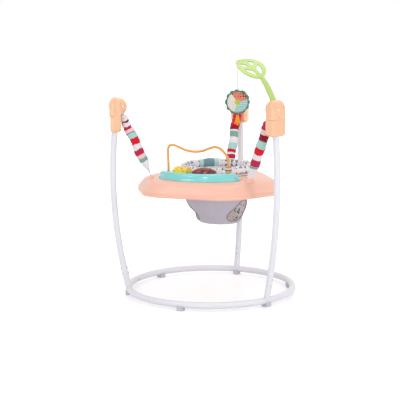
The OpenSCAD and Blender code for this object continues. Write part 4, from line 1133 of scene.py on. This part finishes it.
def lay_uv(piece, along, across, turn=None):
    """A UV map in metres from two values for each point. Values that wrap at turn stay together within a face."""
    mesh = piece.data
    corner = np.empty(len(mesh.loops), int)
    mesh.loops.foreach_get("vertex_index", corner)
    value = np.stack([along[corner], across[corner]], -1).reshape(-1, 4, 2)
    if turn:
        value[..., 1] -= turn * np.round((value[..., 1] - value[:, :1, 1]) / turn)
    layer = mesh.uv_layers.new(name="UVMap")
    layer.data.foreach_set("uv", value.astype(np.float32).ravel())


# %% [markdown]
# A padded collar stands on the seat ring, a little higher behind the back than in front. Its section is a soft roll,
# carried round a circle, and sewn gathers make it swell and pinch. The print runs round it, with a plain patch
# behind the head.

# %% Collar
collar_base_z = 504.8 * MM
collar_middle, collar_half = 141.3 * MM, 13.7 * MM
collar_low, collar_back, collar_flare = 35 * MM, 42 * MM, 11 * MM
collar_slim, collar_taper, collar_lean = 0.86, 0.3, 0.2
collar_print_width = 75 * MM
patch_at = math.radians(124) * collar_middle
patch_half, panel_half, rib_rate = 26 * MM, 47 * MM, 1500.0


def round_seat(radius, turn, height):
    """A place at that radius and turn round the seat's axis."""
    return np.stack([seat_centre[0] + radius * np.cos(turn), seat_centre[1] + radius * np.sin(turn), height], -1)


def collar_height(t):
    """Height of the collar at a turn round the seat: low at the front, higher behind."""
    return collar_low + (collar_back - collar_low) * ((1 + np.sin(t)) / 2) ** 1.5


def collar_points():
    """Section angle a, turn t: r = middle + half (slim cos a (1 - taper up) + lean (up - 1/2)), with a flare below."""
    a = np.linspace(0, TURN, 48, endpoint=False)[:, None]
    t = np.linspace(0, TURN, 360, endpoint=False)[None, :]
    up = (1 + np.sin(a)) / 2
    r = collar_middle + collar_slim * collar_half * np.cos(a) * (1 - collar_taper * up)
    r = r + (up - 0.5) * collar_half * collar_lean
    r = r + collar_flare * np.maximum(np.cos(a), 0) * (1 - up) ** 1.5
    lift = (0.04 + 0.92 * up) * collar_height(t) * (1 + 0.035 * np.sin(9 * t + 1.3) + 0.02 * np.sin(21 * t))
    return round_seat(r, t, collar_base_z + lift)


def sew_collar(piece):
    """Presses gathers into the swelled collar, keeps it on its ring, and lays its UV map round section and turn."""
    x, y, z = (points_of(piece) - np.array([*seat_centre, collar_base_z])).T
    t, r = np.arctan2(y, x), np.hypot(x, y)
    up = np.clip(z / collar_height(t), 0, 1)
    gather = np.sin(34 * t + 1.5 * np.sin(3 * t)) * (0.5 + 0.5 * np.sin(5 * t + 1))
    r = collar_middle + (r - collar_middle) * (1 + 0.06 * gather * (1 - 0.6 * up))
    z = np.maximum(z, 0) * (1 + 0.012 * gather)
    move_points(piece, round_seat(r, t, collar_base_z + z))
    section = np.arctan2(up - 0.5, (r - collar_middle) / collar_half)
    lay_uv(piece, collar_print_width * np.abs(section) / math.pi, (t % TURN) * collar_middle, TURN * collar_middle)


def sewn_patch(tree, colour):
    """A mint panel with a darker teal square in it, the square striped with painted shade of its pleats, by distance
    along the ring from the patch's middle.
    """
    round_it = uv_parts(tree)[1]
    away = apart(tree, round_it, patch_at)
    colour = blend_colour(tree, below(tree, away, panel_half), colour, srgb(196, 226, 226))
    # The darker teal stripes across the square are painted shade in the valleys of its pleats.
    pleat_shade = sums(tree, "MULTIPLY_ADD", sine(tree, round_it, rib_rate), 0.5, 0.5)
    teal = blend_colour(tree, pleat_shade, srgb(96, 134, 144), srgb(146, 182, 186))
    return blend_colour(tree, below(tree, away, patch_half), colour, teal)


collar_print = printed("collar_print", srgb(242, 240, 246), srgb(30, 28, 36), srgb(232, 231, 238),
                       cell=0.026, patch=sewn_patch)
collar = surface("padded_collar", collar_points(), wrap_rows=True, wrap_columns=True)
stuffed(collar, cell=4 * MM, limit=3 * MM)
sew_collar(collar)
place(collar, "seat", "collar_fabric", "seat_collar", material=collar_print)

# %% [markdown]
# The hanging toy is a stuffed disc with a scalloped green border. Its face carries a plain pinwheel of coloured
# cloth. The stuffing makes both faces dome, and the seam between the face and the border pulls a groove.

# %% Plush toy
plush_centre = np.array([150, -87, 811.1]) * MM
plush_radius, plush_half = 51.5 * MM, 17 * MM
plush_azimuth = math.radians(290)
scallops = 12
seam_share, stitch_share = 0.8, 0.84
hub_radius, stitch_half = 11 * MM, 0.6 * MM
coral_from, cream_from, cream_to = 0.3, 2.2, -1.9
dot_rate, wave_rate, sway_rate, stitch_rate = 95.0, 900.0, 300.0, 90.0
border_green = srgb(66, 132, 108)


def at_plush(local):
    """A point given as (towards the face, across, up) from the toy's middle."""
    return plush_centre + at_azimuth(*np.moveaxis(local, -1, 0), plush_azimuth)


def scallop_lobe(t):
    """0 in the middle of a scallop and 1 between two, with the scallops not quite even."""
    return (1 - np.cos(scallops * t + 0.8 * np.sin(3 * t))) / 2


def plush_points():
    """From the back's middle to the front's: radius R cos(p)^0.75, thickness sin(p)^0.85, with a scalloped edge."""
    p = np.linspace(-math.pi / 2, math.pi / 2, 81)[:, None]
    t = np.linspace(0, TURN, 240, endpoint=False)[None, :]
    share = np.cos(p) ** 0.75 + 0 * t
    radius = 1.03 * plush_radius * share * (1 - 0.07 * share**3 * scallop_lobe(t) ** 2)
    thick = 0.82 * plush_half * np.sign(np.sin(p)) * np.abs(np.sin(p)) ** 0.85 + 0 * t
    return at_plush(np.stack([thick, radius * np.cos(t), radius * np.sin(t)], -1))


def sew_plush(piece):
    """Presses the seam's groove and the pinches between the scallops into the stuffed disc, and lays its UV map."""
    away = points_of(piece) - plush_centre
    local = np.stack([*out_and_across(away[:, 0], away[:, 1], plush_azimuth), away[:, 2]], -1)
    t, share = np.arctan2(local[:, 2], local[:, 1]), np.hypot(local[:, 1], local[:, 2]) / plush_radius
    groove = 0.3 * np.exp(-(((share - seam_share) / 0.04) ** 2))
    pinch = groove + 0.35 * scallop_lobe(t) ** 3 * ease((share - 0.78) / 0.15)
    dimple = 0.05 * np.sin(5 * t + 2) * share * ease((0.75 - share) / 0.2)
    local[:, 0] *= 1 - pinch - dimple
    move_points(piece, at_plush(local))
    lay_uv(piece, local[:, 1], local[:, 2])


def pinwheel(tree):
    """Border green, three sectors by the angle round the middle, dots on one and waves on another, a hub."""
    local = put(tree, "Mapping", {"Vector": object_place(tree), "Location": plush_centre.tolist(),
                                  "Rotation": (0, 0, plush_azimuth)}, vector_type="TEXTURE").outputs[0]
    part = put(tree, "SeparateXYZ", {0: local})
    across, upward = part.outputs[1], part.outputs[2]
    reach = sums(tree, "SQRT", sums(tree, "MULTIPLY_ADD", across, across, sums(tree, "MULTIPLY", upward, upward)))
    turn = sums(tree, "ARCTAN2", upward, across)
    dots = put(tree, "TexVoronoi", {"Vector": local, "Scale": dot_rate, "Randomness": 0.25}).outputs["Distance"]
    waves = sums(tree, "SINE", sums(tree, "MULTIPLY_ADD", upward, wave_rate, sine(tree, across, sway_rate)))
    cream = blend_colour(tree, below(tree, dots, 0.16), srgb(244, 236, 226), srgb(236, 190, 150))
    coral = blend_colour(tree, below(tree, dots, 0.36), srgb(240, 142, 116), srgb(70, 34, 40))
    sea = blend_colour(tree, above(tree, waves, 0.75), srgb(150, 208, 206), srgb(238, 246, 244))
    dashes = above(tree, sine(tree, turn, stitch_rate), -0.2)
    beside = apart(tree, reach, plush_radius * stitch_share)
    stitch = sums(tree, "MULTIPLY", below(tree, beside, stitch_half), dashes)
    colour = sea
    for share, cover in ((above(tree, turn, coral_from), coral), (above(tree, turn, cream_from), cream),
                         (below(tree, turn, cream_to), cream), (below(tree, reach, hub_radius), srgb(196, 210, 90)),
                         (above(tree, reach, plush_radius * seam_share), border_green),
                         (stitch, srgb(170, 205, 190))):
        colour = blend_colour(tree, share, colour, cover)
    return colour


plush_cloth = cloth("plush_cloth", border_green, threads=1400.0, depth=0.5, paint=pinwheel)
plush = surface("stuffed_toy", plush_points(), wrap_columns=True)
stuffed(plush, cell=3 * MM, limit=3 * MM)
sew_plush(plush)
place(plush, "plush", "plush_fabric", "plush_toy", material=plush_cloth)

# %% Ribbon tails under the toy
ribbon_cloth = cloth("ribbon_cloth", srgb(250, 172, 56), threads=1600.0, depth=0.3)
ribbon_top, ribbon_drop = -51.9 * MM, 41 * MM
ribbon_half_width, ribbon_half_thick = 3.3 * MM, 0.4 * MM
face = at_plush(np.array([0, 1.0, 0])) - at_plush(np.zeros(3))
s = np.linspace(0, 1, 40)
tails = []
for number, fan in enumerate((-9, 0, 9)):
    sway = 2.2 * MM * np.sin(5 * s + 2 * number) * s + (number - 1) * 1.2 * MM
    spread = fan * MM * (0.35 + 0.65 * s) * s**0.3
    path = at_plush(np.stack([sway, spread, ribbon_top - ribbon_drop * s * (1 - 0.012 * abs(fan))], -1))
    tails.append(strip("tail_%d" % number, path, ribbon_half_width, ribbon_half_thick, face))
ribbon = joined("ribbon_tails", tails)
place(ribbon, "plush", "ribbon_fabric", "ribbon_tail", material=ribbon_cloth)

# %% [markdown]
# The toy hangs on a thin cord from under the leaf's tip. A cord has a real length and hangs straight down from
# what carries it, so its points are the ones that the CAD model was built with.

# %% Hanging cord
cord_x, cord_y, cord_radius = 150 * MM, -87 * MM, 0.8 * MM
cord_heights = [972.1, 966, 959, 952, 945, 938, 931, 924, 917, 910, 903, 896, 889, 882, 875, 869, 863]
cord_path = [(cord_x, cord_y, z * MM) for z in cord_heights]
cord_cloth = cloth("cord_braid", srgb(236, 234, 230), threads=2500.0, depth=0.4)
toy_cord = tube("toy_cord", cord_path, cord_radius, (0, 1, 0), sides=12)
place(toy_cord, "plush", "string_fabric", "toy_string", material=cord_cloth)

# %% [markdown]
# The dome on the console is a push button on a small spring. The spring is blended from the tray to the dome,
# so it shortens as the dome goes down.

# %% Dome spring
dome_low, dome_high = 501.85 * MM, 515.15 * MM
dome_coil_radius, dome_wire_radius, dome_turns = 6.3 * MM, 0.7 * MM, 5
dome_axis = at_azimuth(toy_radius, 0, 0, dome_azimuth)
dome_coil = dome_axis + helix(dome_coil_radius, np.linspace(0, dome_turns, 200), dome_low, dome_high)
dome_spring = tube("dome_spring_wire", dome_coil, dome_wire_radius, (0, 0.2, 1), sides=10)
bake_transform(dome_spring, "tray", "dome", start=(*dome_coil[0, :2], dome_low), end=(*dome_coil[0, :2], dome_high))
place(dome_spring, "tray", "bright_steel", "dome_spring")

# %% [markdown]
# The studio is a white sweep with large soft lamps. The background is white because the world and the floor show
# white to the camera and to reflections, not because more light falls on the object. The floor still takes the
# object's soft shadow.

# %% Floor, world and lamps
def ray_seen(tree):
    """1 for rays from the camera, a mirror or glass, 0 for light that falls on the object."""
    path = put(tree, "LightPath")
    seen = sums(tree, "MAXIMUM", path.outputs["Is Camera Ray"], path.outputs["Is Glossy Ray"])
    return sums(tree, "MAXIMUM", seen, path.outputs["Is Transmission Ray"])


ambient = 0.66
world = bpy.data.worlds.new("studio")
bpy.context.scene.world = world
world.use_nodes = True
tree = world.node_tree
background = tree.nodes["Background"]
background.inputs["Color"].default_value = (1, 1, 1, 1)
tree.links.new(sums(tree, "MAXIMUM", ray_seen(tree), ambient), background.inputs["Strength"])

floor_white, tree, shader = new_material("floor_white", Base_Color=(0.86, 0.86, 0.87, 1), Roughness=0.35,
                                         Specular_IOR_Level=0.25, Emission_Color=(1, 1, 1, 1))
away = put(tree, "VectorMath", {0: object_place(tree)}, operation="LENGTH").outputs["Value"]
glow = remap(tree, away, 0.3, 0.62, first=0.4, last=3.0)
tree.links.new(sums(tree, "MULTIPLY", ray_seen(tree), glow), shader.inputs["Emission Strength"])
floor_half = 14
floor_line = np.linspace(-floor_half, floor_half, 5)
floor_x, floor_y = np.meshgrid(floor_line, floor_line, indexing="ij")
floor = surface("floor", np.stack([floor_x, floor_y, 0 * floor_x], -1))
floor.data.materials.append(floor_white)

lamps = {
    "key": ((-1.6, -2.6, 2.6), (0, 0, 0.5), (1.6, 1.6), 15),
    "fill": ((2.8, -1.6, 1.8), (0, 0, 0.5), (2.0, 2.0), 6),
    "top": ((0.2, 0.6, 3.4), (0, 0, 0.3), (2.4, 2.4), 24),
    "glint": ((-1.1, -2.4, 1.5), (0, -0.2, 0.5), (0.12, 0.12), 1),
    "left_box": ((0.59, -3.35, 1.0), (0, 0, 0.6), (0.4, 1.8), 14),
    "right_box": ((3.23, -1.05, 1.0), (0, 0, 0.6), (0.4, 1.8), 14),
}
for label, (stand, aim, sides, watts) in lamps.items():
    lamp = bpy.data.objects.new(label, bpy.data.lights.new(label, "AREA"))
    bpy.context.scene.collection.objects.link(lamp)
    lamp.data.shape, lamp.data.energy = "RECTANGLE", watts
    lamp.data.size, lamp.data.size_y = sides
    lamp.location = stand
    lamp.rotation_euler = (Vector(aim) - Vector(stand)).to_track_quat("-Z", "Y").to_euler()
bpy.context.scene.view_settings.view_transform = "Standard"
print("studio ready,", len(lamps), "lamps")
